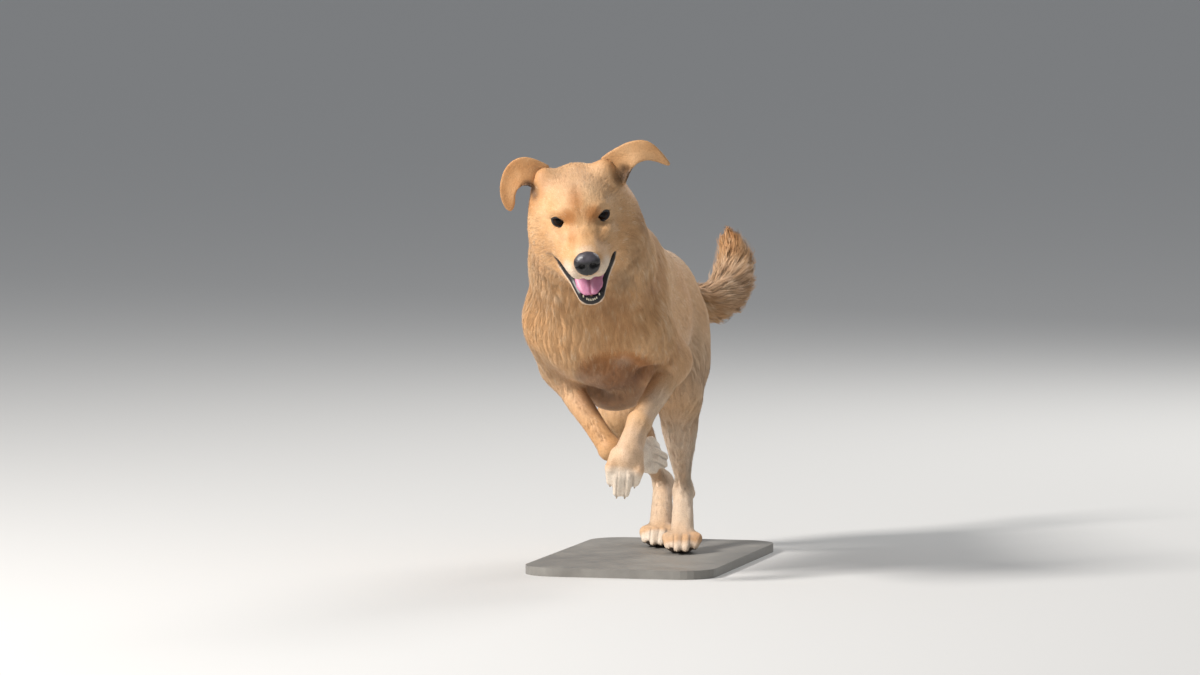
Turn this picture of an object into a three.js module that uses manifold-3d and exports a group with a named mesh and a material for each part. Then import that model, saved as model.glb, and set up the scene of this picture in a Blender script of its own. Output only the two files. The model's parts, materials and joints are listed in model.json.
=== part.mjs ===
// A life-size running dog: a broad, yellow-coated retriever cross, 59 cm at the withers, on a
// plain flat base. Both hind feet are down, the trunk is pitched up, and the fore legs are
// gathered under the chest. Lengths are millimetres, +X is the dog's left, +Y its back, +Z up.
// The body is a set of blended fields (muscle ellipsoids and tapered limbs), which is meshed
// and then parted by thin flat cuts into the named parts of the animal.
import * as THREE from "three";
import { SimplifyModifier } from "three/addons/modifiers/SimplifyModifier.js";
import { mergeVertices } from "three/addons/utils/BufferGeometryUtils.js";
import Module from "manifold-3d";

const wasm = await Module();
wasm.setup();

// ---------------------------------------------------------------- driving dimensions
const GAP = 0.25; // each side of a parting cut stands back this far
const CLEAR = 0.4; // room left round a piece that is let into another
const BASE = { length: 560, width: 330, thick: 15, corner: 60 };
const DOG_AT = [-25, -40, 0]; // the dog's own origin, from the centre of the base

const HEAD_AT = [37, -505, 619]; // midpoint between the eyes
const HEAD_TURN = { left: 18, down: 22, roll: -8.5 }; // degrees
const EYE = { apart: 72, radius: 11.5, back: 1, up: 0 };
const EAR_THICK = 6;
// For each kind of piece, the grid it is meshed on and the number of faces it is left with.
const FINE = {
  body: { cell: 16, faces: 1440 },
  head: { cell: 7, faces: 1520 },
  arm: { cell: 11, faces: 190 },
  shank: { cell: 11, faces: 210 },
  paw: { cell: 5, faces: 540 },
  foot: { cell: 5, faces: 560 },
  tail: { cell: 13, faces: 320 },
  nose: { cell: 4.5, faces: 170 },
  tongue: { cell: 6, faces: 150 },
};

// ---------------------------------------------------------------- fields
// A field is a function of a point [x, y, z] that is negative inside a shape.
const sub = (a, b) => [a[0] - b[0], a[1] - b[1], a[2] - b[2]];
const dot = (a, b) => a[0] * b[0] + a[1] * b[1] + a[2] * b[2];
const mix = (a, b, t) => a + (b - a) * t;
const mixAll = (a, b, t) => a.map((v, i) => mix(v, b[i], t));
const unit = (a) => a.map((v) => v / Math.hypot(...a));
const cross = (a, b) => [
  a[1] * b[2] - a[2] * b[1],
  a[2] * b[0] - a[0] * b[2],
  a[0] * b[1] - a[1] * b[0],
];
const clamp = (v) => Math.min(1, Math.max(0, v));

// Two fields joined with a fillet about k wide, and one field cut out of another the same way.
function blend(a, b, k) {
  const h = Math.max(k - Math.abs(a - b), 0) / k;
  return Math.min(a, b) - (h * h * k) / 4;
}
const carve = (a, b, k) => -blend(-a, b, k);
const join = (shapes) => (p) =>
  shapes.reduce((d, [field, k]) => blend(d, field(p), k), 1e6);

function ellipsoid(at, radii) {
  const least = Math.min(...radii);
  return (p) => {
    const q = sub(p, at);
    const away = Math.hypot(...q);
    const scaled = Math.hypot(q[0] / radii[0], q[1] / radii[1], q[2] / radii[2]);
    return scaled < 1e-3 ? -least : away * (1 - 1 / scaled);
  };
}

// A tapered round bar with ball ends.
function bar(a, b, ra, rb) {
  const along = sub(b, a);
  const length2 = dot(along, along);
  return (p) => {
    const q = sub(p, a);
    const t = clamp(dot(q, along) / length2);
    return Math.hypot(...sub(q, along.map((v) => v * t))) - mix(ra, rb, t);
  };
}

// A limb, neck or trunk: a smooth centre line through stations [x, y, z, side, up, down], where
// the last three are the section's half width and its reach towards and away from `up`.
function limb(stations, up = [0, 0, 1], cap = 0.8, steps = 6) {
  const line = new THREE.CatmullRomCurve3(
    stations.map((s) => new THREE.Vector3(...s)),
    false,
    "catmullrom",
    0.5,
  );
  const spans = stations.length - 1;
  const points = [];
  for (let i = 0; i <= spans * steps; i++) {
    const t = i / steps;
    const k = Math.min(Math.floor(t), spans - 1);
    const ease = t - k;
    points.push({
      at: line.getPoint(i / (spans * steps)).toArray(),
      size: mixAll(stations[k].slice(3), stations[k + 1].slice(3), ease),
    });
  }
  const middle = points[points.length >> 1].at;
  const reach =
    Math.max(...points.map((q) => Math.hypot(...sub(q.at, middle)) + Math.max(...q.size)));
  return (p) => {
    const far = Math.hypot(...sub(p, middle)) - reach;
    if (far > 80) return far;
    let best = Infinity;
    let found = null;
    for (let i = 0; i + 1 < points.length; i++) {
      const a = points[i];
      const b = points[i + 1];
      const along = sub(b.at, a.at);
      const t = clamp(dot(sub(p, a.at), along) / dot(along, along));
      const q = sub(p, mixAll(a.at, b.at, t));
      const away = dot(q, q);
      if (away < best) {
        best = away;
        found = { q, t, a, b, along };
      }
    }
    const forward = unit(found.along);
    const lift = unit(sub(up, forward.map((v) => v * dot(up, forward))));
    const [side, above, below] = mixAll(found.a.size, found.b.size, found.t);
    const y = dot(found.q, lift);
    const z = dot(found.q, forward);
    const x = dot(found.q, cross(forward, lift));
    const away = Math.hypot(x, y, z);
    const scaled = Math.hypot(x / side, y / (y > 0 ? above : below), z / (side * cap));
    return scaled < 1e-3 ? -Math.min(side, above, below) : away * (1 - 1 / scaled);
  };
}

const BACK = [0, 1, 0]; // the `up` of a leg's sections: side is across, up is to the rear
const mirrored = (v) => [-v[0], ...v.slice(1)];
const pair = (make, at, ...rest) => [make(at, ...rest), make(mirrored(at), ...rest)];

// ---------------------------------------------------------------- solids
// Where a face of a cell is inside at two opposite corners only, the surface would pinch there,
// so its shallower outside corner is taken in.
function openPinches(value, n, index, cell) {
  const turns = [[0, 1], [1, 2], [2, 0]];
  for (let found = true; found; ) {
    found = false;
    for (let k = 0; k + 1 < n[2]; k++)
      for (let j = 0; j + 1 < n[1]; j++)
        for (let i = 0; i + 1 < n[0]; i++)
          for (const [u, v] of turns) {
            const face = [[0, 0], [1, 0], [1, 1], [0, 1]].map(([a, b]) => {
              const here = [i, j, k];
              here[u] += a;
              here[v] += b;
              return index(...here);
            });
            const inside = face.map((f) => value[f] < 0);
            if (inside[0] !== inside[2] || inside[1] !== inside[3]) continue;
            if (inside[0] === inside[1]) continue;
            const [a, b] = inside[0] ? [face[1], face[3]] : [face[0], face[2]];
            value[value[a] < value[b] ? a : b] = -0.05 * cell;
            found = true;
          }
  }
}

// A closed mesh of a field inside a box, by surface nets: one vertex in each cell that the
// surface crosses, moved onto the surface, and one face across each crossed grid edge. The
// flat stretches are then thinned out to the wanted number of faces.
async function meshOf(field, low, high, { cell, faces }) {
  const n = low.map((v, i) => Math.ceil((high[i] - v) / cell) + 1);
  const at = (i, j, k) => [low[0] + i * cell, low[1] + j * cell, low[2] + k * cell];
  const index = (i, j, k) => (k * n[1] + j) * n[0] + i;
  const value = new Float64Array(n[0] * n[1] * n[2]);
  for (let k = 0; k < n[2]; k++)
    for (let j = 0; j < n[1]; j++)
      for (let i = 0; i < n[0]; i++) {
        const rim = [i, j, k].some((v, axis) => v === 0 || v === n[axis] - 1);
        const d = field(at(i, j, k));
        value[index(i, j, k)] = rim ? Math.max(d, cell * 0.3) : d;
      }
  openPinches(value, n, index, cell);
  const step = cell * 0.02;
  const onto = (p) => {
    for (let turn = 0; turn < 3; turn++) {
      const d = field(p);
      const slope = [0, 1, 2].map((axis) => {
        const q = [...p];
        q[axis] += step;
        return (field(q) - d) / step;
      });
      const steep = Math.max(dot(slope, slope), 0.2);
      const move = Math.max(-0.4 * cell, Math.min(0.4 * cell, d)) / steep;
      p = sub(p, slope.map((v) => v * move));
    }
    return p;
  };
  const corners = [...Array(8).keys()].map((c) => [c & 1, (c >> 1) & 1, c >> 2]);
  const vertexOf = new Int32Array(value.length).fill(-1);
  const vertices = [];
  for (let k = 0; k + 1 < n[2]; k++)
    for (let j = 0; j + 1 < n[1]; j++)
      for (let i = 0; i + 1 < n[0]; i++) {
        const d = corners.map(([a, b, c]) => value[index(i + a, j + b, k + c)]);
        if (d.every((v) => v < 0) || d.every((v) => v >= 0)) continue;
        const sum = [0, 0, 0];
        let count = 0;
        for (let a = 0; a < 8; a++)
          for (const bit of [1, 2, 4]) {
            const b = a | bit;
            if (b === a || d[a] < 0 === d[b] < 0) continue;
            const t = d[a] / (d[a] - d[b]);
            mixAll(corners[a], corners[b], t).forEach((v, axis) => (sum[axis] += v));
            count++;
          }
        const start = at(i, j, k).map((v, axis) => v + (sum[axis] / count) * cell);
        const edge = [i, j, k].some((v, axis) => v === 0 || v === n[axis] - 2);
        vertexOf[index(i, j, k)] = vertices.length;
        vertices.push(edge ? start : onto(start));
      }
  const triangles = [];
  const away = (a, b) => Math.hypot(...sub(vertices[a], vertices[b]));
  for (let k = 0; k + 1 < n[2]; k++)
    for (let j = 0; j + 1 < n[1]; j++)
      for (let i = 0; i + 1 < n[0]; i++)
        for (let axis = 0; axis < 3; axis++) {
          const here = [i, j, k];
          const next = [...here];
          next[axis]++;
          const inside = value[index(...here)] < 0;
          if (inside === value[index(...next)] < 0) continue;
          const [u, v] = [(axis + 1) % 3, (axis + 2) % 3];
          const ring = [[0, 0], [1, 0], [1, 1], [0, 1]].map(([a, b]) => {
            const cellAt = [...here];
            cellAt[u] -= a;
            cellAt[v] -= b;
            return vertexOf[index(...cellAt)];
          });
          if (!inside) ring.reverse();
          const [a, b, c, d] = ring;
          if (away(a, c) < away(b, d)) triangles.push(a, b, c, a, c, d);
          else triangles.push(a, b, d, b, c, d);
        }
  const fine = new THREE.BufferGeometry();
  fine.setAttribute("position", new THREE.Float32BufferAttribute(vertices.flat(), 3));
  fine.setIndex(triangles);
  const spare = Math.round(vertices.length * (1 - (3 * faces) / triangles.length));
  const thinned = await new SimplifyModifier().modify(fine, Math.max(spare, 0));
  return solidOf(thinned.attributes.position.array, thinned.index.array);
}

const solidOf = (positions, triangles) =>
  new wasm.Manifold(
    new wasm.Mesh({
      numProp: 3,
      vertProperties: new Float32Array(positions),
      triVerts: new Uint32Array(triangles),
    }),
  );

// A three.js geometry as a solid.
function solidFrom(geometry) {
  const bare = geometry.index ? geometry.toNonIndexed() : geometry.clone();
  bare.deleteAttribute("normal");
  bare.deleteAttribute("uv");
  const merged = mergeVertices(bare, 1e-3);
  return solidOf(merged.attributes.position.array, merged.index.array);
}

// The same solid with every vertex moved out by `by`, to cut the seat it sits in.
function grown(solid, by = CLEAR) {
  const mesh = solid.getMesh();
  const geometry = new THREE.BufferGeometry();
  geometry.setAttribute("position", new THREE.BufferAttribute(mesh.vertProperties, 3));
  geometry.setIndex(new THREE.BufferAttribute(mesh.triVerts, 1));
  geometry.computeVertexNormals();
  const normal = geometry.attributes.normal.array;
  return solidOf(mesh.vertProperties.map((v, i) => v + normal[i] * by), mesh.triVerts);
}

// All that lies on the side of each plane [point, normal] that its normal points to. A gap
// above 0 moves every plane inwards, and one below 0 moves it outwards.
const FAR = 1500;
function beyond(planes, gap = 0) {
  return planes
    .map(([point, normal]) => {
      const n = new THREE.Vector3(...unit(normal));
      const block = new THREE.BoxGeometry(FAR, FAR, FAR).translate(0, 0, FAR / 2 + gap);
      const turn = new THREE.Quaternion().setFromUnitVectors(new THREE.Vector3(0, 0, 1), n);
      block.applyQuaternion(turn);
      return solidFrom(block.translate(...point));
    })
    .reduce((a, b) => a.intersect(b));
}

// The largest body of a solid, without crumbs that a cut left.
const whole = (solid) =>
  solid.decompose().reduce((a, b) => (a.volume() > b.volume() ? a : b));

// [the part beyond the planes, the rest], with a thin gap between them.
const part = (solid, planes) => [
  whole(solid.intersect(beyond(planes, GAP))),
  whole(solid.subtract(beyond(planes, -GAP))),
];

const coat = (color) => new THREE.MeshStandardMaterial({ color, roughness: 0.85 });
const MATERIALS = {
  tan: coat("#c8935a"),
  cream: coat("#e0c39a"),
  ear: coat("#c07f48"),
  nose: new THREE.MeshStandardMaterial({ color: "#26242a", roughness: 0.4 }),
  eye: new THREE.MeshStandardMaterial({ color: "#1c120c", roughness: 0.08 }),
  tongue: new THREE.MeshStandardMaterial({ color: "#c8718a", roughness: 0.35 }),
  base: new THREE.MeshStandardMaterial({ color: "#8d8a84", roughness: 0.7 }),
};

function meshFrom(solid, name, material) {
  const mesh = solid.getMesh();
  const geometry = new THREE.BufferGeometry();
  geometry.setAttribute("position", new THREE.BufferAttribute(mesh.vertProperties, 3));
  geometry.setIndex(new THREE.BufferAttribute(mesh.triVerts, 1));
  geometry.computeVertexNormals();
  const made = new THREE.Mesh(geometry, MATERIALS[material]);
  made.name = name;
  return made;
}

// ---------------------------------------------------------------- legs
// Joints of the pose. Each leg is a list of named joints from the body to the foot.
const LEGS = {
  left: {
    scapula: [50, -160, 552],
    shoulder: [82, -280, 432],
    elbow: [114, -144, 362],
    wrist: [85, -290, 271],
    knuckles: [76, -348, 216],
    hip: [50, 205, 408],
    stifle: [62, 80, 290],
    hock: [46, 188, 112],
    heel: [48, 222, 104],
    toeRoot: [67, 94, 39],
  },
  right: {
    scapula: [-46, -165, 548],
    shoulder: [-76, -288, 436],
    elbow: [-85, -194, 351],
    wrist: [25, -259, 222],
    knuckles: [58, -207, 212],
    hip: [-54, 210, 404],
    stifle: [-54, 146, 250],
    hock: [-15, 294, 117],
    heel: [-13, 325, 110],
    toeRoot: [4, 196, 39],
  },
};

const station = (at, ...sizes) => [...at, ...sizes];

function shoulderFields(leg) {
  const blade = limb(
    [station(leg.scapula, 30, 55, 50), station(leg.shoulder, 34, 58, 54)],
    BACK,
  );
  const upperArm = limb(
    [station(leg.shoulder, 32, 54, 48), station(leg.elbow, 25, 38, 32)],
    BACK,
  );
  return [[blade, 45], [upperArm, 40]];
}

const foreArm = (leg) =>
  limb(
    [
      station(leg.elbow, 24, 33, 30),
      station(mixAll(leg.elbow, leg.wrist, 0.35), 23, 25, 25),
      station(mixAll(leg.elbow, leg.wrist, 0.75), 19, 19, 19),
      station(leg.wrist, 21, 20, 20),
    ],
    BACK,
    1,
  );

function thighFields(leg) {
  const middle = mixAll(leg.hip, leg.stifle, 0.45);
  const thigh = limb(
    [
      station(leg.hip, 34, 84, 70),
      station([middle[0], middle[1] + 18, middle[2]], 42, 84, 62),
      station(leg.stifle, 39, 46, 36),
    ],
    BACK,
  );
  return [[thigh, 40]];
}

const shank = (leg) =>
  limb(
    [
      station(leg.stifle, 39, 44, 36),
      station(mixAll(leg.stifle, leg.hock, 0.32), 35, 40, 30),
      station(mixAll(leg.stifle, leg.hock, 0.65), 21, 26, 21),
      station(mixAll(leg.stifle, leg.hock, 0.88), 13, 21, 16),
      station(leg.hock, 14.5, 22, 18),
    ],
    BACK,
    1,
  );

// Four toes side by side: from a root line across `side`, in the direction `ahead`. The two
// middle toes are the longest, and each is raised at its knuckle by `arch` along `lift`.
function toeLines(root, { ahead, side, lift }, { spacing, reach, arch }) {
  return [-1.5, -0.5, 0.5, 1.5].map((slot) => {
    const inner = Math.abs(slot) < 1;
    const place = (share, up, spread) => {
      const along = (inner ? reach : reach * 0.78) * share - (inner ? 0 : 5);
      const across = slot * spacing * spread;
      return root.map((v, i) => v + side[i] * across + ahead[i] * along + lift[i] * up);
    };
    return [place(0, 0, 0.8), place(0.55, arch, 1), place(1, -arch, 0.88)];
  });
}
const toeFields = (lines, thick) =>
  lines.flatMap(([start, knuckle, tip]) => [
    [bar(start, knuckle, thick, thick * 0.98), 7],
    [bar(knuckle, tip, thick * 0.98, thick * 0.8), 4],
  ]);

// A claw on each toe: a short cone that leaves the tip and bends down from its line.
const CLAW = { radius: 3.2, length: 10, sides: 5 };
function claws(lines, { ahead, lift }) {
  const way = new THREE.Vector3(...ahead.map((v, i) => v - lift[i] * 0.35)).normalize();
  const turn = new THREE.Quaternion().setFromUnitVectors(new THREE.Vector3(0, 1, 0), way);
  return lines.map(([, , tip]) => {
    const claw = new THREE.ConeGeometry(CLAW.radius, CLAW.length, CLAW.sides);
    claw.applyQuaternion(turn);
    return solidFrom(claw.translate(...tip.map((v, i) => v + way.getComponent(i) * 6.5)));
  });
}

// ---------------------------------------------------------------- body
const trunk = limb(
  [
    [0, -318, 412, 76, 88, 82],
    [2, -262, 430, 84, 130, 116],
    [2, -196, 442, 98, 166, 150],
    [2, -110, 430, 106, 158, 160],
    [0, -10, 418, 104, 152, 134],
    [-1, 90, 408, 88, 134, 92],
    [-2, 180, 404, 78, 116, 72],
    [-2, 252, 394, 60, 92, 66],
  ],
  undefined,
  0.6,
);
const croup = ellipsoid([-2, 170, 452], [68, 96, 80]);
const neck = limb(
  [
    [4, -215, 460, 96, 126, 122],
    [8, -290, 503, 105, 123, 114],
    [18, -356, 546, 109, 105, 98],
    [30, -425, 584, 97, 80, 78],
  ],
  undefined,
  0.7,
);
const tail = limb(
  [
    [8, 280, 440, 30, 34, 34],
    [28, 335, 431, 32, 34, 38],
    [55, 382, 434, 33, 35, 42],
    [73, 428, 455, 32, 36, 42],
    [75, 470, 495, 29, 33, 36],
    [62, 476, 540, 19, 20, 20],
  ],
  [-0.45, -0.2, 0.87],
  0.9,
);

// ---------------------------------------------------------------- head
// The head has its own frame: the midpoint between the eyes is its origin, with the same
// +X left, +Y back and +Z up as the body's.
const headFrame = new THREE.Matrix4().compose(
  new THREE.Vector3(...HEAD_AT),
  new THREE.Quaternion().setFromEuler(
    new THREE.Euler(
      ...[HEAD_TURN.down, HEAD_TURN.roll, HEAD_TURN.left].map(THREE.MathUtils.degToRad),
      "ZXY",
    ),
  ),
  new THREE.Vector3(1, 1, 1),
);
const moved = (field, matrix) => (p) =>
  field(new THREE.Vector3(...p).applyMatrix4(matrix).toArray());
const headInverse = headFrame.clone().invert();

const skull = join([
  [ellipsoid([0, 52, 8], [60, 72, 47]), 1],
  [ellipsoid([0, 92, 18], [44, 36, 38]), 20],
  [ellipsoid([0, 18, 8], [42, 34, 27]), 18],
  ...pair(ellipsoid, [29, 2, 15], [17, 16, 11]).map((f) => [f, 12]),
  ...pair(ellipsoid, [43, 50, -28], [32, 50, 44]).map((f) => [f, 24]),
  ...pair(ellipsoid, [54.5, 78, -20], [29, 44, 52]).map((f) => [f, 24]),
  ...pair(ellipsoid, [33, 2, -24], [20, 32, 18]).map((f) => [f, 16]),
  ...pair(ellipsoid, [50, 76, 38], [19, 21, 26]).map((f) => [f, 26]),
]);
const muzzle = limb(
  [
    [0, 14, -24, 44, 26, 36],
    [0, -28, -35, 36, 30, 31],
    [0, -60, -40, 31, 28, 28],
    [0, -84, -43, 26, 23, 24],
  ],
  undefined,
  0.5,
);
const jaw = limb(
  [
    [0, 48, -72, 50, 30, 32],
    [0, 8, -88, 43, 20, 26],
    [0, -22, -107, 31, 15, 20],
    [0, -46, -121, 22.5, 13, 16],
  ],
  undefined,
  0.6,
);
const throat = ellipsoid([0, 62, -62], [56, 44, 44]);
const mouth = limb(
  [
    [0, 16, -52, 42, 3, 3],
    [0, -8, -60, 51, 7, 8],
    [0, -26, -78, 40, 18, 17],
    [0, -54, -93, 31, 26, 18],
    [0, -96, -108, 27, 34, 26],
  ],
  undefined,
  0.5,
);
const lipLine = [
  [46, 4, -42, 10, 10, 9],
  [39.5, -16, -47, 11, 11, 9],
  [31, -44, -52, 9, 11, 10],
  [18.5, -80, -57, 8, 12, 12],
];
const flews = [limb(lipLine), limb(lipLine.map(mirrored))];
const headSolid = join([
  [skull, 1],
  [muzzle, 28],
  ...flews.map((f) => [f, 18]),
  [jaw, 16],
  [throat, 22],
]);
const sockets = join(pair(ellipsoid, [39, -17, 1], [14, 13, 9]).map((f) => [f, 1]));
const hollow = (solid) => (p) => carve(carve(solid(p), mouth(p), 5), sockets(p), 7);

// The cut behind the head, in the head's frame, and the same plane in the body's frame.
const NECK_CUT = [[0, 100, -75], [-0.06, -0.61, 0.79]];
const neckPlaneWorld = [
  new THREE.Vector3(...NECK_CUT[0]).applyMatrix4(headFrame).toArray(),
  new THREE.Vector3(...NECK_CUT[1]).transformDirection(headFrame).toArray(),
];
const past = ([point, normal], p) => dot(sub(p, point), unit(normal));

// ---------------------------------------------------------------- building the parts
const STUB = 18; // how far a field runs on past a cut before it is left out
const legCuts = (leg) => {
  const toWrist = unit(sub(leg.wrist, leg.elbow));
  const toHock = unit(sub(leg.hock, leg.stifle));
  return {
    arm: [leg.elbow.map((v, i) => v + toWrist[i] * 62), toWrist],
    wrist: [leg.wrist.map((v, i) => v - toWrist[i] * 4), toWrist],
    shank: [leg.stifle.map((v, i) => v + toHock[i] * 58), toHock],
    hock: [leg.hock.map((v, i) => v - toHock[i] * 22), unit([0, 0.4, -0.92])],
  };
};
const stub = (field, plane) => (p) => Math.max(field(p), past(plane, p) - STUB);

const bodyShapes = [[trunk, 1], [croup, 40], [neck, 50]];
for (const leg of Object.values(LEGS)) {
  const cuts = legCuts(leg);
  bodyShapes.push(...shoulderFields(leg), ...thighFields(leg));
  bodyShapes.push([stub(foreArm(leg), cuts.arm), 22], [stub(shank(leg), cuts.shank), 26]);
}
const tailCut = [[16, 322, 434], [0.35, 0.93, -0.05]];
bodyShapes.push([stub(tail, tailCut), 34]);
const headInBody = moved(headSolid, headInverse);
const bodyField = join(bodyShapes);
const bodyWithHead = (p) =>
  Math.max(blend(bodyField(p), headInBody(p), 24), past(neckPlaneWorld, p) - STUB);

const dog = new THREE.Group();
dog.position.set(...DOG_AT);

let body = await meshOf(bodyWithHead, [-170, -500, 190], [185, 370, 660], FINE.body);
// A box round the stub of a limb beyond its cut plane, `half` wide each way.
function stubRegion([point, normal], half) {
  const n = unit(normal);
  const across = unit(cross(n, BACK));
  const other = cross(n, across);
  const wall = (direction, sign) => [
    point.map((v, i) => v + direction[i] * sign * half),
    direction.map((v) => -v * sign),
  ];
  return [[point, n], wall(across, 1), wall(across, -1), wall(other, 1), wall(other, -1)];
}
body = body.subtract(beyond([neckPlaneWorld], -GAP));
for (const leg of Object.values(LEGS)) {
  const cuts = legCuts(leg);
  body = body.subtract(beyond(stubRegion(cuts.arm, 42), -GAP));
  body = body.subtract(beyond(stubRegion(cuts.shank, 60), -GAP));
}
body = whole(body.subtract(beyond([tailCut], -GAP)));

let neckPart;
[neckPart, body] = part(body, [[[6, -262, 470], [0.12, -0.78, 0.62]]]);
dog.add(meshFrom(neckPart, "neck", "tan"));
for (const [name, sign] of [["left", 1], ["right", -1]]) {
  let piece;
  [piece, body] = part(body, [
    [[sign * 64, 0, 0], [sign, 0, 0]],
    [[0, -92, 0], [0, -1, 0]],
    [[0, 0, 536], [0, 0, -1]],
  ]);
  dog.add(meshFrom(piece, "shoulder_" + name, "tan"));
  const leg = LEGS[name];
  [piece, body] = part(body, [
    [[sign * 14, 0, 290], [sign * 0.94, 0, -0.34]],
    [[0, leg.stifle[1] - 46, leg.stifle[2]], [0, 0.9, -0.44]],
    [[0, 0, 452], [0, 0, -1]],
  ]);
  dog.add(meshFrom(piece, "thigh_" + name, "tan"));
}
dog.add(meshFrom(body, "trunk", "tan"));

// Each leg below the body's cuts, with the paw at its end.
const around = (points, room) => [
  [0, 1, 2].map((i) => Math.min(...points.map((q) => q[i])) - room),
  [0, 1, 2].map((i) => Math.max(...points.map((q) => q[i])) + room),
];
const FORE_TOES = {
  left: {
    ahead: unit([-0.13, -0.1, -1]),
    side: unit([0.97, 0.24, -0.06]),
    lift: unit([0.2, -0.97, 0.06]),
  },
  right: {
    ahead: unit([0.66, 0.7, -0.28]),
    side: unit([0, 0.35, 0.94]),
    lift: unit([0.76, -0.62, 0.23]),
  },
};
const FORE_TOE_SIZE = { spacing: 15.5, reach: 62, arch: 5, thick: 9.2 };
const HIND_TOE_SIZE = { spacing: 16.5, reach: 62, arch: 4, thick: 9.8 };
const HIND_TOES = {
  left: { ahead: unit([0.2, -0.97, -0.14]), side: unit([0.98, 0.2, 0]), lift: [0, 0, 1] },
  right: { ahead: unit([0.14, -0.98, -0.14]), side: unit([0.99, 0.14, 0]), lift: [0, 0, 1] },
};
for (const [name, leg] of Object.entries(LEGS)) {
  const cuts = legCuts(leg);
  const fore = FORE_TOES[name];
  const palm = leg.knuckles.map((v, i) => v - fore.lift[i] * 9 + fore.ahead[i] * 6);
  const foreToes = toeLines(leg.knuckles, fore, FORE_TOE_SIZE);
  const forePaw = join([
    [foreArm(leg), 1],
    [bar(leg.wrist, leg.knuckles, 19, 22), 12],
    [ellipsoid(palm, [22, 20, 20]), 12],
    ...toeFields(foreToes, FORE_TOE_SIZE.thick),
  ]);
  const foreTip = leg.knuckles.map((v, i) => v + fore.ahead[i] * 60);
  const armBox = around([leg.elbow, leg.wrist], 45);
  const armSolid = await meshOf(foreArm(leg), ...armBox, FINE.arm);
  const forearm = armSolid
    .intersect(beyond([cuts.arm], GAP))
    .subtract(beyond([cuts.wrist], -GAP));
  dog.add(meshFrom(whole(forearm), "forearm_" + name, "tan"));
  const pawSolid = await meshOf(
    (p) => Math.max(forePaw(p), -past(cuts.wrist, p) - STUB),
    ...around([leg.wrist, leg.knuckles, foreTip], 48),
    FINE.paw,
  );
  const forePiece = claws(foreToes, fore).reduce((a, claw) => a.add(claw), pawSolid);
  const pawOnly = whole(forePiece.intersect(beyond([cuts.wrist], GAP)));
  dog.add(meshFrom(pawOnly, "forepaw_" + name, "cream"));

  const hind = HIND_TOES[name];
  const floorAt = BASE.thick + 0.3;
  const hindTip = leg.toeRoot.map((v, i) => v + hind.ahead[i] * 70);
  const hindToes = toeLines(leg.toeRoot, hind, HIND_TOE_SIZE);
  const ball = [leg.toeRoot[0], leg.toeRoot[1] - 14, floorAt + 15];
  const hindPaw = join([
    [shank(leg), 1],
    [bar(leg.hock, leg.toeRoot, 17, 20), 14],
    [bar(leg.hock, leg.heel, 16, 13), 10],
    [ellipsoid(ball, [27, 32, 18]), 12],
    ...toeFields(hindToes, HIND_TOE_SIZE.thick),
  ]);
  const shankSolid = await meshOf(shank(leg), ...around([leg.stifle, leg.hock], 52), FINE.shank);
  const lowerLeg = shankSolid
    .intersect(beyond([cuts.shank], GAP))
    .subtract(beyond([cuts.hock], -GAP));
  dog.add(meshFrom(whole(lowerLeg), "lower_leg_" + name, "tan"));
  const footSolid = await meshOf(
    (p) => Math.max(hindPaw(p), -past(cuts.hock, p) - STUB),
    ...around([leg.hock, leg.heel, hindTip], 44),
    FINE.foot,
  );
  const foot = claws(hindToes, hind)
    .reduce((a, claw) => a.add(claw), footSolid)
    .intersect(beyond([cuts.hock], GAP))
    .intersect(beyond([[[0, 0, floorAt], [0, 0, 1]]]));
  dog.add(meshFrom(whole(foot), "hind_paw_" + name, "cream"));
}

const tailSolid = await meshOf(tail, [-40, 240, 370], [150, 580, 600], FINE.tail);
dog.add(meshFrom(whole(tailSolid.intersect(beyond([tailCut], GAP))), "tail", "tan"));

// ---------------------------------------------------------------- head parts
const headGroup = new THREE.Group();
headFrame.decompose(headGroup.position, headGroup.quaternion, headGroup.scale);
dog.add(headGroup);

const noseField = join([
  [ellipsoid([0, -88, -34], [18, 14, 14]), 1],
  ...pair(ellipsoid, [10, -88, -38], [12, 12, 11]).map((f) => [f, 8]),
  [ellipsoid([0, -88, -49], [15, 11, 13]), 8],
  [ellipsoid([0, -86, -58], [10, 10, 13]), 8],
]);
const neckInHead = moved(neck, headFrame);
const headField = (p) =>
  Math.max(
    hollow((q) => blend(headSolid(q), neckInHead(q), 24))(p),
    -past(NECK_CUT, p) - STUB,
  );
let headPiece = await meshOf(headField, [-126, -112, -160], [126, 190, 96], FINE.head);
headPiece = headPiece.intersect(beyond([NECK_CUT], GAP));
const noseBox = [[-40, -115, -75], [40, -60, -5]];
const nose = await meshOf(noseField, ...noseBox, FINE.nose);
headPiece = headPiece.subtract(grown(nose));
headGroup.add(meshFrom(nose, "nose", "nose"));

const eyeBall = (radius, detail) => {
  const ball = new THREE.SphereGeometry(radius, detail, detail / 2);
  return solidFrom(ball.rotateX(Math.PI / 2));
};
for (const [name, sign] of [["left", 1], ["right", -1]]) {
  const at = [(sign * EYE.apart) / 2, EYE.back, EYE.up];
  headPiece = headPiece.subtract(eyeBall(EYE.radius + CLEAR, 10).translate(at));
  headGroup.add(meshFrom(eyeBall(EYE.radius, 10).translate(at), "eye_" + name, "eye"));
}

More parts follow.
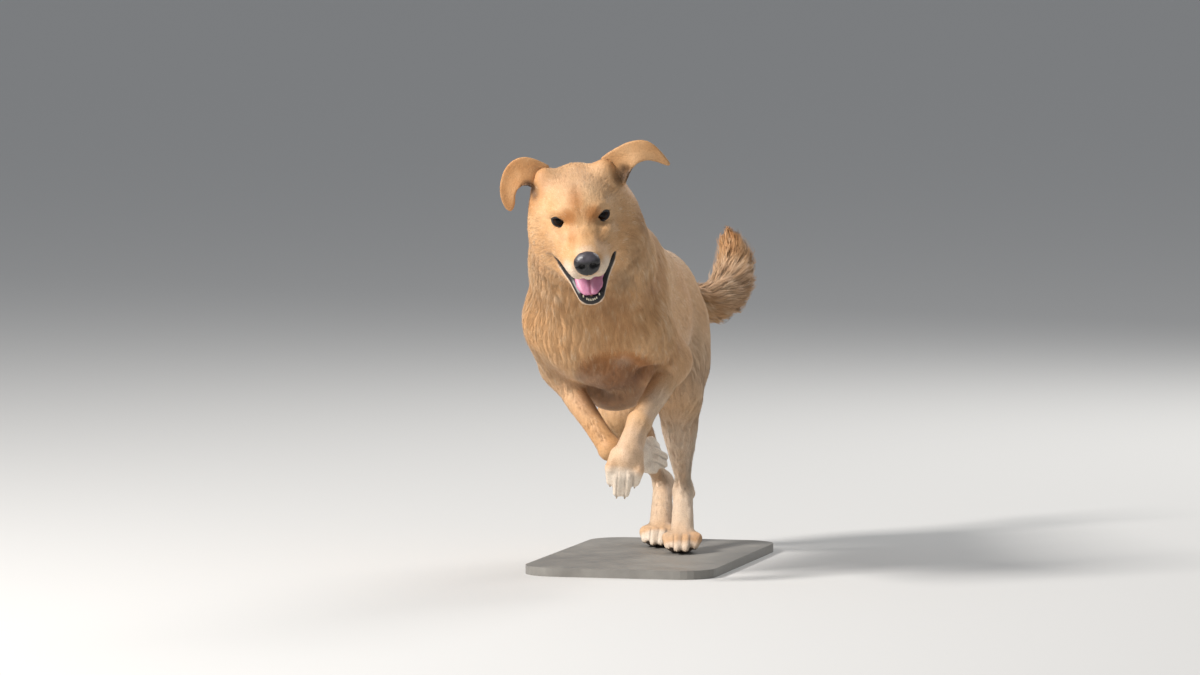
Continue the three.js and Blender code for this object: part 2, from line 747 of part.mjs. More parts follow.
// An ear is a flap between an upper and a lower edge, given as pairs of points from its root
// to its tip, and swept as a thin section that is rounded at both edges and cupped forwards.
const EARS = {
  right: [
    [[-30, 84, 44], [-52, 60, 20]],
    [[-42, 82, 68], [-66, 64, 34]],
    [[-62, 80, 84], [-80, 64, 42]],
    [[-86, 80, 91], [-90, 64, 42]],
    [[-110, 79, 78], [-98, 66, 34]],
    [[-123, 77, 52], [-102, 68, 24]],
    [[-127, 74, 26], [-104, 70, 6]],
    [[-120, 72, 4], [-112, 71, -3]],
  ],
  left: [
    [[34, 84, 44], [66, 60, 10]],
    [[50, 82, 69], [84, 62, 29]],
    [[78, 81, 84], [94, 64, 46]],
    [[104, 80, 91], [106, 66, 55]],
    [[127, 79, 88], [122, 70, 56]],
    [[143, 77, 70], [138, 73, 49]],
    [[158, 75, 42], [155, 74, 39]],
  ],
};
function flap(pairs, thick) {
  const sides = 8;
  const positions = [];
  pairs.forEach(([upper, lower], row) => {
    const middle = mixAll(upper, lower, 0.5);
    const across = sub(upper, lower).map((v) => v / 2);
    const [last, next] = [pairs[Math.max(row - 1, 0)], pairs[Math.min(row + 1, pairs.length - 1)]];
    const along = sub(mixAll(...next, 0.5), mixAll(...last, 0.5));
    const normal = unit(cross(along, across));
    for (let s = 0; s < sides; s++) {
      const turn = (s / sides) * 2 * Math.PI;
      const share = Math.cos(turn);
      const cup = (1 - share * share) * Math.hypot(...across) * 0.22;
      const out = Math.sin(turn) * thick * 0.5;
      const bulge = (v, i) => v + across[i] * share + normal[i] * out + (i === 1 ? cup : 0);
      positions.push(middle.map(bulge));
    }
  });
  const ends = [0, pairs.length - 1].map((row) => {
    const ring = positions.slice(row * sides, (row + 1) * sides);
    return [0, 1, 2].map((i) => ring.reduce((t, q) => t + q[i], 0) / sides);
  });
  const [first, final] = [positions.push(ends[0]) - 1, positions.push(ends[1]) - 1];
  const triangles = [];
  for (let s = 0; s < sides; s++) {
    const t = (s + 1) % sides;
    triangles.push(first, s, t);
    const top = (pairs.length - 1) * sides;
    triangles.push(final, top + t, top + s);
    for (let row = 0; row + 1 < pairs.length; row++) {
      const [a, b] = [row * sides + s, row * sides + t];
      triangles.push(a, a + sides, b, b, a + sides, b + sides);
    }
  }
  const made = solidOf(positions.flat(), triangles);
  if (made.volume() > 0) return made;
  return solidOf(positions.flat(), triangles.reverse());
}
for (const [name, pairs] of Object.entries(EARS)) {
  const ear = flap(pairs, EAR_THICK).subtract(grown(headPiece));
  headGroup.add(meshFrom(whole(ear), "ear_" + name, "ear"));
}

const tongueField = limb(
  [
    [0, 16, -74, 22, 4, 6],
    [0, -14, -86, 28, 5, 6],
    [0, -38, -101, 26, 5, 5],
    [0, -51, -110, 19, 4, 4],
  ],
  undefined,
  0.5,
);
const tongue = await meshOf(tongueField, [-40, -75, -130], [40, 45, -55], FINE.tongue);
const tongueRoom = grown(tongue, 2 * CLEAR).add(tongue);
headPiece = headPiece.subtract(tongueRoom);
headGroup.add(meshFrom(tongue, "tongue", "tongue"));

// The lower jaw's small front teeth and its two canines stand along its front rim.
const LOWER_TEETH = [
  { across: 3.6, back: -64, up: -115, radius: 2.2, height: 8 },
  { across: 10, back: -61, up: -114, radius: 2.2, height: 8 },
  { across: 16.8, back: -54, up: -110, radius: 2.8, height: 11 },
];

const JAW_CUTS = [
  [[0, -10, -60], [0, 0.442, -0.897]],
  [[0, 12, -74], [0, -0.93, -0.37]],
];
let jawPiece;
[jawPiece, headPiece] = part(headPiece, JAW_CUTS);
for (const { across, back, up, radius, height } of LOWER_TEETH)
  for (const sign of [-1, 1]) {
    const tooth = new THREE.ConeGeometry(radius, height, 5).rotateX(Math.PI / 2);
    jawPiece = jawPiece.add(solidFrom(tooth.translate(sign * across, back, up)));
  }
headGroup.add(meshFrom(whole(jawPiece.subtract(tongueRoom)), "lower_jaw", "cream"));
headGroup.add(meshFrom(whole(headPiece), "head", "tan"));

// ---------------------------------------------------------------- stand
const outline = new THREE.Shape();
const [w, l, c] = [BASE.width / 2, BASE.length / 2, BASE.corner];
outline.moveTo(-w + c, -l);
outline.lineTo(w - c, -l).absarc(w - c, -l + c, c, -Math.PI / 2, 0);
outline.lineTo(w, l - c).absarc(w - c, l - c, c, 0, Math.PI / 2);
outline.lineTo(-w + c, l).absarc(-w + c, l - c, c, Math.PI / 2, Math.PI);
outline.lineTo(-w, -l + c).absarc(-w + c, -l + c, c, Math.PI, 1.5 * Math.PI);
const base = new THREE.Mesh(
  new THREE.ExtrudeGeometry(outline, { depth: BASE.thick, bevelEnabled: false, curveSegments: 4 }),
  MATERIALS.base,
);
base.name = "stand_base";

const model = new THREE.Group();
model.add(dog, base);

export default model;
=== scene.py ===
import json
import math

import bpy
import numpy as np
from mathutils import Matrix, Vector
from mathutils.bvhtree import BVHTree
from mathutils.kdtree import KDTree

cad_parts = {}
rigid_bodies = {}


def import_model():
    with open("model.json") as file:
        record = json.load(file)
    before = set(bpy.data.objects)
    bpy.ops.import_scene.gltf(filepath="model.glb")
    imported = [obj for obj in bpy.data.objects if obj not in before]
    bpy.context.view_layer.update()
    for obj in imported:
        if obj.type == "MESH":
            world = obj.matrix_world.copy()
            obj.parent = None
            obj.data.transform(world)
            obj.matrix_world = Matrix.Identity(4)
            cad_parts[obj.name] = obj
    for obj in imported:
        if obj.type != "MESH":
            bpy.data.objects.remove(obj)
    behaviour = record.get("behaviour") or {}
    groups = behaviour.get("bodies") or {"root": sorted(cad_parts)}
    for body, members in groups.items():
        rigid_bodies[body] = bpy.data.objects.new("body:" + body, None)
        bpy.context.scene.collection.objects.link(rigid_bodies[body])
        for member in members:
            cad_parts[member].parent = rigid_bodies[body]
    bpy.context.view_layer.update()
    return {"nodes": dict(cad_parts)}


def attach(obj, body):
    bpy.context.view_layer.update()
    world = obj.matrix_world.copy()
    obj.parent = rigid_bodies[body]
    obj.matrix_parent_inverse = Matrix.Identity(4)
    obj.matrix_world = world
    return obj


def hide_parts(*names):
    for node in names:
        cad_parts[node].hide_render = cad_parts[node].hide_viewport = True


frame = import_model()
bpy.ops.object.select_all(action="DESELECT")

# ------------------------------------------------------------------------------------ camera
# A long lens looks slightly down on the dog from a little to its left, as it comes towards it.
CAMERA_AT = (2.6838, -11.1307, 1.141)
CAMERA_AZIMUTH = math.radians(14)
CAMERA_DOWN = math.radians(3.76)
bpy.ops.object.camera_add(
    location=CAMERA_AT, rotation=(math.pi / 2 - CAMERA_DOWN, 0, CAMERA_AZIMUTH)
)
camera = bpy.context.object
camera.name = "camera"
camera.data.lens = 200
camera.data.sensor_width = 36
camera.data.clip_end = 500
bpy.context.scene.camera = camera

# ------------------------------------------------------------------------------------- skin
# The dog's hide: one closed surface from nose to tail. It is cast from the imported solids,
# fused and smoothed, then drawn in under them by the depth of the coat that grows on it.
CASTS = [
    # grain of the cast in metres, how far the solids are swelled so that they fuse, and which
    (0.0050, 0.0008, ("neck", "trunk", "tail", "shoulder_left", "shoulder_right", "thigh_left",
                      "thigh_right")),
    (0.0026, 0.0008, ("head", "lower_jaw", "nose", "eye_left", "eye_right", "forearm_left",
                      "forearm_right", "forepaw_left", "forepaw_right", "lower_leg_left",
                      "lower_leg_right", "hind_paw_left", "hind_paw_right")),
    (0.0014, 0.0016, ("ear_left", "ear_right")),
]
HEAD_AT = np.array([0.012, -0.545, 0.619])
HEAD_AXES = np.array(
    Matrix.Rotation(math.radians(18), 3, "Z")
    @ Matrix.Rotation(math.radians(22), 3, "X")
    @ Matrix.Rotation(math.radians(-8.5), 3, "Y")
)


def from_head(*mm):
    """A place given from the midpoint between the eyes: left, back and up in millimetres."""
    return HEAD_AT + HEAD_AXES @ (np.array(mm) / 1000)


def to_head(places):
    return (places - HEAD_AT) @ HEAD_AXES * 1000


def out_of_head(local):
    return HEAD_AT + local @ HEAD_AXES.T / 1000


def from_dog(*mm):
    """A place given in the dog's own measure, whose origin lies off the base's centre."""
    return (np.array(mm) - (25, 40, 0)) / 1000


def choose(*objects):
    bpy.ops.object.select_all(action="DESELECT")
    for chosen in objects:
        chosen.select_set(True)
    bpy.context.view_layer.objects.active = objects[0]


def apply_modifier(kind, **settings):
    bpy.ops.object.modifier_add(type=kind)
    modifier = bpy.context.object.modifiers[-1]
    for key, value in settings.items():
        setattr(modifier, key, value)
    bpy.ops.object.modifier_apply(modifier=modifier.name)


def in_edit_mode(*steps):
    bpy.ops.object.mode_set(mode="EDIT")
    bpy.ops.mesh.select_all(action="SELECT")
    for step, options in steps:
        step(**options)
    bpy.ops.object.mode_set(mode="OBJECT")


def copy_of(name):
    """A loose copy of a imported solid, its doubled corners merged."""
    choose(frame["nodes"][name])
    bpy.ops.object.duplicate()
    copy = bpy.context.object
    bpy.ops.object.parent_clear(type="CLEAR_KEEP_TRANSFORM")
    for key in list(copy.keys()):
        del copy[key]
    in_edit_mode((bpy.ops.mesh.remove_doubles, {"threshold": 1e-5}))
    return copy


skin = None
for grain, swelling, names in CASTS:
    copies = []
    for name in names:
        copies.append(copy_of(name))
        if name.startswith("ear"):
            apply_modifier("SUBSURF", levels=2)
        apply_modifier("DISPLACE", strength=swelling, mid_level=0)
    choose(*copies)
    bpy.ops.object.join()
    cast = bpy.context.object
    apply_modifier("REMESH", mode="VOXEL", voxel_size=grain)
    if skin is None:
        skin = cast
        continue
    choose(skin)
    apply_modifier("BOOLEAN", operation="UNION", solver="MANIFOLD", object=cast)
    bpy.data.objects.remove(cast)
skin.name = "skin"
skin.data.name = "skin"
skin.data.materials.clear()


def read(items, field, width, kind=float):
    """A field of all the items as rows of `width` values, or as one row where that is 1."""
    values = np.empty(len(items) * width, kind)
    items.foreach_get(field, values)
    return values if width == 1 else values.reshape(-1, width)


def corners_of(piece):
    return read(piece.data.vertices, "co", 3)


def normals_of(piece):
    return read(piece.data.vertex_normals, "vector", 3, np.float32).astype(float)


def put_corners(piece, places):
    piece.data.vertices.foreach_set("co", places.ravel())
    piece.data.update()


def edges_of(piece):
    return read(piece.data.edges, "vertices", 2, np.int32)


def smoothed(values, edges, turns, weight=1.0):
    """Values drawn towards their neighbours' mean along the mesh, `turns` times."""
    ends = np.concatenate([edges[:, 0], edges[:, 1]])
    others = np.concatenate([edges[:, 1], edges[:, 0]])
    count = np.maximum(np.bincount(ends, minlength=len(values)), 1)[:, None]
    for _ in range(turns):
        mean = np.stack(
            [np.bincount(ends, axis[others], minlength=len(values)) for axis in values.T], 1
        )
        values = values + (mean / count - values) * 0.6 * weight
    return values


def step(value, low, high):
    """0 below `low`, 1 above `high` and a soft rise between."""
    t = np.clip((value - low) / (high - low), 0, 1)
    return t * t * (3 - 2 * t)


def unit(way):
    return np.array(way) / np.linalg.norm(way)


def distance(places, middle):
    return np.linalg.norm(places - middle, axis=1)


def spans(places, middle, radii):
    """How many of an ellipsoid's radii the places are from its middle."""
    return np.linalg.norm((places - middle) / radii, axis=1)


def swell(places, middle, radii):
    """1 in the middle of an ellipsoid, fading to 0 beyond its radii."""
    return np.exp(-np.sum(((places - middle) / radii) ** 2, axis=1))


# How the coat grows on each stretch of the body: where the stretch starts and ends, which is
# also the way the hair lies, its girth, then the hair's length, how steeply it stands off,
# its width and the share of tufts that it gets. Millimetres and shares. H and D say whether a
# place is given from the head's middle or in the dog's own measure.
H, D = from_head, from_dog
STRETCHES = [
    # start, end, girth, length, stand, width, crowd
    (H(0, -86, -20), H(0, 6, 18), 24, 4.2, 0.12, 0.8, 3.4),
    (H(0, 6, 22), H(0, 66, 54), 46, 5.5, 0.13, 0.85, 3.6),
    (H(0, 66, 54), H(4, 150, 20), 50, 10, 0.13, 0.9, 2.8),
    (H(0, -55, -132), H(0, 60, -105), 26, 5, 0.12, 0.8, 2.8),
    (H(0, 30, -120), H(0, 110, -120), 40, 13, 0.14, 0.95, 2.2),
    (D(22, -400, 650), D(2, -190, 600), 60, 19, 0.15, 1.0, 2.1),
    (D(18, -420, 470), D(6, -335, 400), 62, 19, 0.16, 1.0, 2.1),
    (D(4, -345, 430), D(3, -240, 300), 66, 13, 0.11, 0.95, 1.7),
    (D(0, -180, 585), D(0, 215, 525), 62, 14, 0.10, 0.95, 1.5),
    (D(0, -220, 300), D(0, 170, 325), 62, 12, 0.12, 0.95, 1.8),
    (D(0, 215, 510), D(10, 300, 440), 54, 20, 0.16, 1.1, 1.6),
    (D(12, 290, 440), D(57, 382, 436), 30, 36, 0.34, 1.2, 2.6),
    (D(57, 382, 436), D(78, 470, 490), 30, 40, 0.38, 1.2, 2.8),
    (D(78, 470, 490), D(60, 476, 548), 26, 36, 0.34, 1.1, 3.0),
]
for side in (-1, 1):
    STRETCHES += [
        (H(side * 20, -84, -50), H(side * 40, -6, -42), 20, 4.2, 0.12, 0.8, 3.4),
        (H(side * 40, -6, -42), H(side * 66, 80, -60), 40, 9, 0.13, 0.9, 2.6),
        (H(side * 36, 4, 10), H(side * 62, 96, 16), 32, 6.5, 0.13, 0.9, 3.4),
        (D(side * 92 + 16, -395, 560), D(side * 96, -250, 430), 62, 19, 0.16, 1.0, 2.1),
        (D(side * 82, -150, 470), D(side * 70, 170, 430), 92, 13, 0.10, 0.95, 1.4),
        (D(side * 52, 285, 400), D(side * 54, 185, 270), 36, 27, 0.20, 1.2, 1.8),
    ]
# Each leg: its joints in order, and the same measures for each length between them.
LEGS = {
    "fore_left": [(62, -180, 530), (86, -265, 440), (114, -144, 362), (85, -290, 271),
                  (76, -348, 216), (66, -352, 150)],
    "fore_right": [(-58, -185, 530), (-80, -275, 440), (-85, -194, 351), (25, -259, 222),
                   (58, -207, 212), (98, -164, 196)],
    "hind_left": [(50, 205, 430), (62, 80, 290), (46, 188, 112), (67, 94, 39), (80, 30, 24)],
    "hind_right": [(-54, 210, 430), (-54, 146, 250), (-15, 294, 117), (4, 196, 39),
                   (13, 130, 24)],
}
LEG_COAT = {
    "fore": [(52, 16, 0.12, 1.0, 1.8), (44, 13, 0.12, 0.95, 1.9), (25, 8, 0.12, 0.85, 2.4),
             (22, 5, 0.11, 0.8, 2.8), (20, 3.5, 0.11, 0.75, 2.8)],
    "hind": [(56, 15, 0.12, 1.0, 1.7), (30, 12, 0.13, 0.95, 2.0), (18, 7, 0.12, 0.85, 2.4),
             (20, 3.5, 0.11, 0.75, 2.8)],
}
for leg, joints in LEGS.items():
    for start, end, coat in zip(joints, joints[1:], LEG_COAT[leg.split("_")[0]]):
        STRETCHES.append((D(*start), D(*end), *coat))
# Each paw: the root of its toes, the ways ahead, across and up, and the toes' spacing,
# reach and arch.
PAWS = [
    ((76, -348, 216), (-0.13, -0.1, -1), (0.97, 0.24, -0.06), (0.2, -0.97, 0.06), 15.5, 62, 5),
    ((58, -207, 212), (0.66, 0.7, -0.28), (0, 0.35, 0.94), (0.76, -0.62, 0.23), 15.5, 62, 5),
    ((67, 94, 39), (0.2, -0.97, -0.14), (0.98, 0.2, 0), (0, 0, 1), 16.5, 62, 4),
    ((4, 196, 39), (0.14, -0.98, -0.14), (0.99, 0.14, 0), (0, 0, 1), 16.5, 62, 4),
]
EAR_LINES = {
    "left": [(50, 66, 58), (104, 72, 74), (156, 75, 42)],
    "right": [(-46, 70, 50), (-92, 72, 62), (-113, 71, 8)],
}
for joints in EAR_LINES.values():
    for start, end in zip(joints, joints[1:]):
        STRETCHES.append((H(*start), H(*end), 18, 4.5, 0.07, 0.9, 2.4))


def coat_at(places):
    """The way the coat lies at some places, and its measures there."""
    nearness, ways = [], []
    for start, end, girth, *_ in STRETCHES:
        along = end - start
        share = np.clip((places - start) @ along / (along @ along), 0, 1)
        away = np.linalg.norm(places - start - share[:, None] * along, axis=1)
        nearness.append(away - girth / 1000)
        ways.append(unit(along))
    nearness = np.array(nearness)
    pull = np.exp(-(nearness - nearness.min(0)) / 0.012)
    pull /= pull.sum(0)
    measures = np.array([stretch[3:] for stretch in STRETCHES])
    return pull.T @ np.array(ways), pull.T @ measures


# The cast's steps are smoothed away, and the more the longer the coat is over them.
edges = edges_of(skin)
places = corners_of(skin)
coat = coat_at(places)[1]
shaggy = step(coat[:, 0], 9, 15)[:, None]
for _ in range(12):
    places = smoothed(places, edges, 1)
    places = smoothed(places, edges, 1, -1.03)
places = smoothed(places, edges, 24, shaggy)
# The seams between the solids of each leg are evened out further: how far they are below its
# upper joint and above its lower one, and how far round them this reaches. Millimetres.
SEAM_BELOW, SEAM_ABOVE, SEAM_ROUND = 60, 14, 62
for leg, joints in LEGS.items():
    upper, lower = joints[2:4] if leg.startswith("fore") else joints[1:3]
    along = unit(np.array(lower, float) - upper)
    for seam in (np.array(upper) + along * SEAM_BELOW, np.array(lower) - along * SEAM_ABOVE):
        near = distance(places, from_dog(*seam)) < SEAM_ROUND / 1000
        far_along = np.abs((places - from_dog(*seam)) @ along)
        near = near * (1 - step(far_along, 0.014, 0.028))
        places = smoothed(places, edges, 16, near[:, None])
put_corners(skin, places)


def select_faces(piece, wanted):
    """Selects the faces whose middle satisfies `wanted`, for the next edit-mode step."""
    chosen = wanted(read(piece.data.polygons, "center", 3))
    for domain in (piece.data.vertices, piece.data.edges):
        domain.foreach_set("select", np.zeros(len(domain), bool))
    piece.data.polygons.foreach_set("select", chosen)


EYES = {"left": np.array([35.5, 1.0, 2.0]), "right": np.array([-35.5, 1.0, 2.0])}
EYE_RADIUS = 11.5
# The edges of the lips on the left side, which the right side mirrors: left, back and up of the
# head's middle, then half the width of the black. All that is inside the lower one is black.
LOWER_LIP = np.array([
    (53, -10, -55, 1), (50.5, -12, -64, 1), (46.5, -11, -76, 1), (40, -12, -88, 1),
    (33, -18, -99, 1), (27, -29, -109, 1), (22.5, -39, -116, 1), (17, -50, -123, 1),
    (9, -55, -129, 1), (0, -56, -131, 1),
])
UPPER_LIP = np.array([
    (53, -10, -53, 1.0), (47, -18, -56, 1.6), (39.5, -40, -61, 1.8),
    (32, -58, -65, 1.8), (20.5, -76, -69, 2.0), (0, -90, -70, 2.4),
])


def fold(local):
    """Both sides of the head laid on the left one."""
    return np.stack([np.abs(local[:, 0]), local[:, 1], local[:, 2]], 1)


def beside(places, start, end):
    """How far along a length the places are, as a share, and the points of it beside them."""
    along = end - start
    share = np.clip((places - start) @ along / (along @ along), 0, 1)
    return share, start + share[:, None] * along


def off_line(local, line):
    """How far places on either side of the head are outside a line of some thickness."""
    folded = fold(local)
    away = np.full(len(local), 1e3)
    for start, end in zip(line, line[1:]):
        share, edge = beside(folded, start[:3], end[:3])
        thick = start[3] + (end[3] - start[3]) * share
        away = np.minimum(away, distance(folded, edge) - thick)
    return away


def past_lower_lip(local):
    """How far places lie outside (+) or inside (-) the edge of the lower lip, where near it."""
    folded = fold(local)
    nearest = np.full(len(local), 1e3)
    past = np.full(len(local), 1e3)
    for start, end in zip(LOWER_LIP, LOWER_LIP[1:]):
        share, edge = beside(folded, start[:3], end[:3])
        apart = distance(folded, edge)
        outward = edge - np.stack([share * 0, edge[:, 1], edge[:, 2] * 0.5 - 32], 1)
        outward /= np.linalg.norm(outward, axis=1)[:, None]
        closer = apart < nearest
        nearest = np.where(closer, apart, nearest)
        past = np.where(closer, np.sum((folded - edge) * outward, axis=1), past)
    return np.where(nearest < 15, past, 1e3)


def near_lids(places):
    local = to_head(places)
    return np.any([distance(local, eye) < 19 for eye in EYES.values()], 0)


def near_face(places):
    """The lids, the brows and the lips, which need a finer mesh than the rest."""
    local = to_head(places)
    lids = [distance(local, eye) < 28 for eye in EYES.values()]
    lips = [off_line(local, LOWER_LIP) < 4, off_line(local, UPPER_LIP) < 5]
    return np.any(lids + lips, 0)


for wanted in (near_face, near_lids):
    select_faces(skin, wanted)
    bpy.ops.object.mode_set(mode="EDIT")
    bpy.ops.mesh.select_mode(type="FACE")
    bpy.ops.mesh.subdivide(number_cuts=1)
    bpy.ops.object.mode_set(mode="OBJECT")
edges = edges_of(skin)
places = corners_of(skin)
near = near_face(places)[:, None] * 1.0
for _ in range(4):
    places = smoothed(places, edges, 1, near)
    places = smoothed(places, edges, 1, -0.9 * near)
put_corners(skin, places)

# The skin is drawn in by the coat's depth, not at all round the eyes, and under the nose
# leather by the leather's own depth.
LEATHER_DEPTH = 0.0055
local = to_head(places)
coat = coat_at(places)[1]
depth = coat[:, 0] * coat[:, 1] * 0.75 / 1000
bare = np.zeros(len(places))
for eye in EYES.values():
    bare = np.maximum(bare, 1 - step(distance(local, eye), 14, 24))
depth *= 1 - bare
nose_near = 1 - step(spans(local, (0, -90, -40), (24, 16, 17)), 0.9, 1.25)
depth = depth * (1 - nose_near) + LEATHER_DEPTH * nose_near
depth = smoothed(depth[:, None], edges, 6)
places = places - normals_of(skin) * depth
put_corners(skin, places)

# Lids close over the front of each eyeball, leaving an almond that is open to the eye and
# slants down to its inner corner. Its half width and heights are in degrees round the ball.
GAP_WIDTH, GAP_ABOVE, GAP_BELOW = 57, 38, 28
GAP_SLANT = 0.40
local = to_head(places)
gap_edge = np.full(len(places), 90.0)
for side, eye in EYES.items():
    out = 1 if side == "left" else -1
    gaze = unit((0.34 * out, -1, 0.08))
    lateral = np.array([out, 0, GAP_SLANT])
    lateral = unit(lateral - gaze * (lateral @ gaze))
    upright = np.cross(lateral, gaze) * -out
    offset = local - eye
    radius = np.linalg.norm(offset, axis=1)
    ray = offset / np.maximum(radius, 1e-6)[:, None]
    across = np.degrees(np.arctan2(ray @ lateral, ray @ gaze))
    height = np.degrees(np.arcsin(np.clip(ray @ upright, -1, 1)))
    tall = np.where(height > 0, GAP_ABOVE, GAP_BELOW)
    edge = (np.abs(across) / GAP_WIDTH) ** 1.75 + (np.abs(height) / tall) ** 1.4
    edge = (edge - 1) * 24
    lid = EYE_RADIUS + 0.9 + 1.2 * step(edge, 0, 8) + 1.1 * step(edge, 8, 30)
    lid -= 0.9 * np.exp(-((edge - 14) / 4) ** 2) * step(height, 0, 12)
    lid -= 0.5 * np.exp(-((edge - 18) / 5) ** 2) * step(-height, 0, 12)
    lid = np.where(edge < 0, EYE_RADIUS - 2.2 + 3.1 * step(edge, -7, 0), lid)
    hold = (1 - step(edge, 14, 40)) * (1 - step(radius, 17, 27)) * step(ray @ gaze, 0.1, 0.4)
    moved = eye + ray * (radius * (1 - hold) + lid * hold)[:, None]
    local = np.where((radius < 30)[:, None], moved, local)
    gap_edge = np.minimum(gap_edge, np.where((radius < 20) & (ray @ gaze > 0), edge, 90))

# Hollows and swells: the furrow up the forehead, the whisker pads, the brows, the cheeks and
# the lips. The ears' hollows are sunk into the ears from the front only.
EAR_HOLLOWS = [
    # middle, radii, depth, and the middle of what is bare in it
    ((80, 56, 42), (14, 16, 13), 11, (80, 52, 42)),
    ((-77, 54, 36), (12, 16, 12), 10, (-78, 52, 36)),
]
SWELLS = [
    # middle, radii, rise
    ((0, 16, 26), (4.5, 32, 24), -2.0),
    ((0, -4, 4), (10, 14, 12), -1.8),
    ((0, -34, -8), (9, 36, 10), 0.8),
    ((92, 70, -8), (26, 38, 38), 7),
]
for out in (-1, 1):
    SWELLS += [
        ((out * 26, -66, -50), (14, 20, 14), 2.0),
        ((out * 28, -6, 18), (15, 14, 10), 1.6),
        ((out * 39, -6, -17), (12, 10, 6), 1.0),
        ((out * 30, -34, -14), (10, 24, 13), -4.2),
        ((out * 58, 14, -30), (16, 24, 20), 2.0),
    ]
lids = (gap_edge < 40) * 0.8
for _ in range(3):
    local = smoothed(local, edges, 1, lids[:, None])
put_corners(skin, out_of_head(local))
rise_along = normals_of(skin) @ HEAD_AXES
for middle, radii, sink, _ in EAR_HOLLOWS:
    share = swell(local, middle, radii) * step(-rise_along[:, 1], 0.0, 0.4)
    local = local - rise_along * (sink * share)[:, None]
for middle, radii, rise in SWELLS:
    local = local + rise_along * (rise * swell(local, middle, radii))[:, None]
roll = np.exp(-((past_lower_lip(local) + 3) / 3) ** 2)
local = local + rise_along * roll[:, None]
places = out_of_head(local)
put_corners(skin, places)

# The hollow below the breastbone, between the forelegs.
BREAST_HOLLOW, BREAST_RADII, BREAST_SINK = (46, -312, 350), (42, 60, 32), 0.011
apart = (places - from_dog(*BREAST_HOLLOW)) * 1000 / BREAST_RADII
hollow = np.exp(-np.sum(apart ** 2, axis=1) ** 1.5)
places = places - normals_of(skin) * (BREAST_SINK * hollow)[:, None]
put_corners(skin, places)

# Clefts between the toes, and the bare soles.
CLEFT_DEPTH = 0.0012
cleft = np.zeros(len(places))
sole = np.zeros(len(places))
facing = normals_of(skin)
for toe_root, ahead, side, lift, spacing, reach, _ in PAWS:
    ahead, side, lift = unit(ahead), unit(side), unit(lift)
    apart = (places - from_dog(*toe_root)) * 1000
    along, across, up = apart @ ahead, apart @ side, apart @ lift
    here = (np.abs(across) < 42) & (np.abs(up) < 34) & (along < reach + 18)
    lines = sum(np.exp(-((across - k * spacing * 0.88) / 2.1) ** 2) for k in (-1, 0, 1))
    lines *= step(along, reach * 0.25, reach * 0.6) * here
    cleft = np.maximum(cleft, lines)
    sole = np.maximum(sole, step(-(facing @ lift), 0.35, 0.75) * here * step(along, -8, 6))
places = places - facing * (cleft * CLEFT_DEPTH)[:, None]
put_corners(skin, places)
choose(skin)
bpy.ops.object.shade_smooth()

# What the skin shows bare: the mouth's dark lining, and black lips, lids and leather.
MOUTH = np.array([
    # ahead, up, half width, above, below
    (-16, -52, 42, 3, 3), (8, -60, 51, 7, 8), (26, -78, 40, 18, 17), (54, -93, 31, 26, 18),
    (96, -108, 27, 34, 26),
])


def mouth_at(local):
    """How high the middle of the mouth is, as far ahead as each place."""
    return np.interp(-local[:, 1], MOUTH[:, 0], MOUTH[:, 1])


def off_mouth(local):
    """How far places are outside the hollow of the mouth."""
    ahead = -local[:, 1]
    middle, half, above, below = (np.interp(ahead, MOUTH[:, 0], MOUTH[:, k]) for k in (1, 2, 3, 4))
    rise = local[:, 2] - middle
    scaled = np.hypot(local[:, 0] / half, rise / np.where(rise > 0, above, below))
    away = np.hypot(local[:, 0], rise) * (1 - 1 / np.maximum(scaled, 1e-3))
    return away + np.maximum(-18 - ahead, 0) + np.maximum(np.abs(local[:, 0]) - 62, 0)


local = to_head(places)
towards = normals_of(skin) @ HEAD_AXES
core = np.stack([local[:, 0] * 0.5, local[:, 1], mouth_at(local)], 1)
lining = (1 - step(off_mouth(local), 2.0, 4.0)) * (np.sum(towards * (local - core), axis=1) < 0)
black = 1 - step(past_lower_lip(local), -0.8, 0.6)
black *= step(mouth_at(local) + 2 - local[:, 2], -2, 2)
black = np.maximum(black, 1 - step(off_line(local, UPPER_LIP), -0.6, 1.4))
black = np.maximum(black, 1 - step(gap_edge, 6, 12))
behind_nose = spans(local, (0, -90, -42), (19, 16, 18))
black = np.maximum(black, 1 - step(behind_nose, 0.85, 1.0))


def add_attribute(piece, name, values):
    attribute = piece.data.attributes.new(name, "FLOAT", "POINT")
    attribute.data.foreach_set("value", np.asarray(values, np.float32))


def values_of(piece, name):
    return read(piece.data.attributes[name].data, "value", 1, np.float32).astype(float)


# Small dark traces about the eyes, the brows and the mouth's corners, alike on both sides: partly
# the lids' own dark rims, partly painted shade in the corners of the eyes and the mouth, above the
# lids and in the forehead's furrow.
TRACES = [
    # middle, radii, share
    ((26, -10, -5), (3.6, 7, 3.6), 0.75), ((24, -14, -11), (2.4, 7, 5), 0.4),
    ((48, 2, 7), (4, 8, 2.4), 0.6), ((35, -8, 9.5), (10, 8, 2.2), 0.42),
    ((38, -8, -13), (11, 8, 2.6), 0.36), ((53, -4, -52), (5, 9, 6), 0.6),
    ((56, 4, -44), (8, 12, 8), 0.25), ((21, -17, 15), (11, 12, 9), 0.20),
    ((2, -2, 32), (8, 20, 22), 0.14),
]
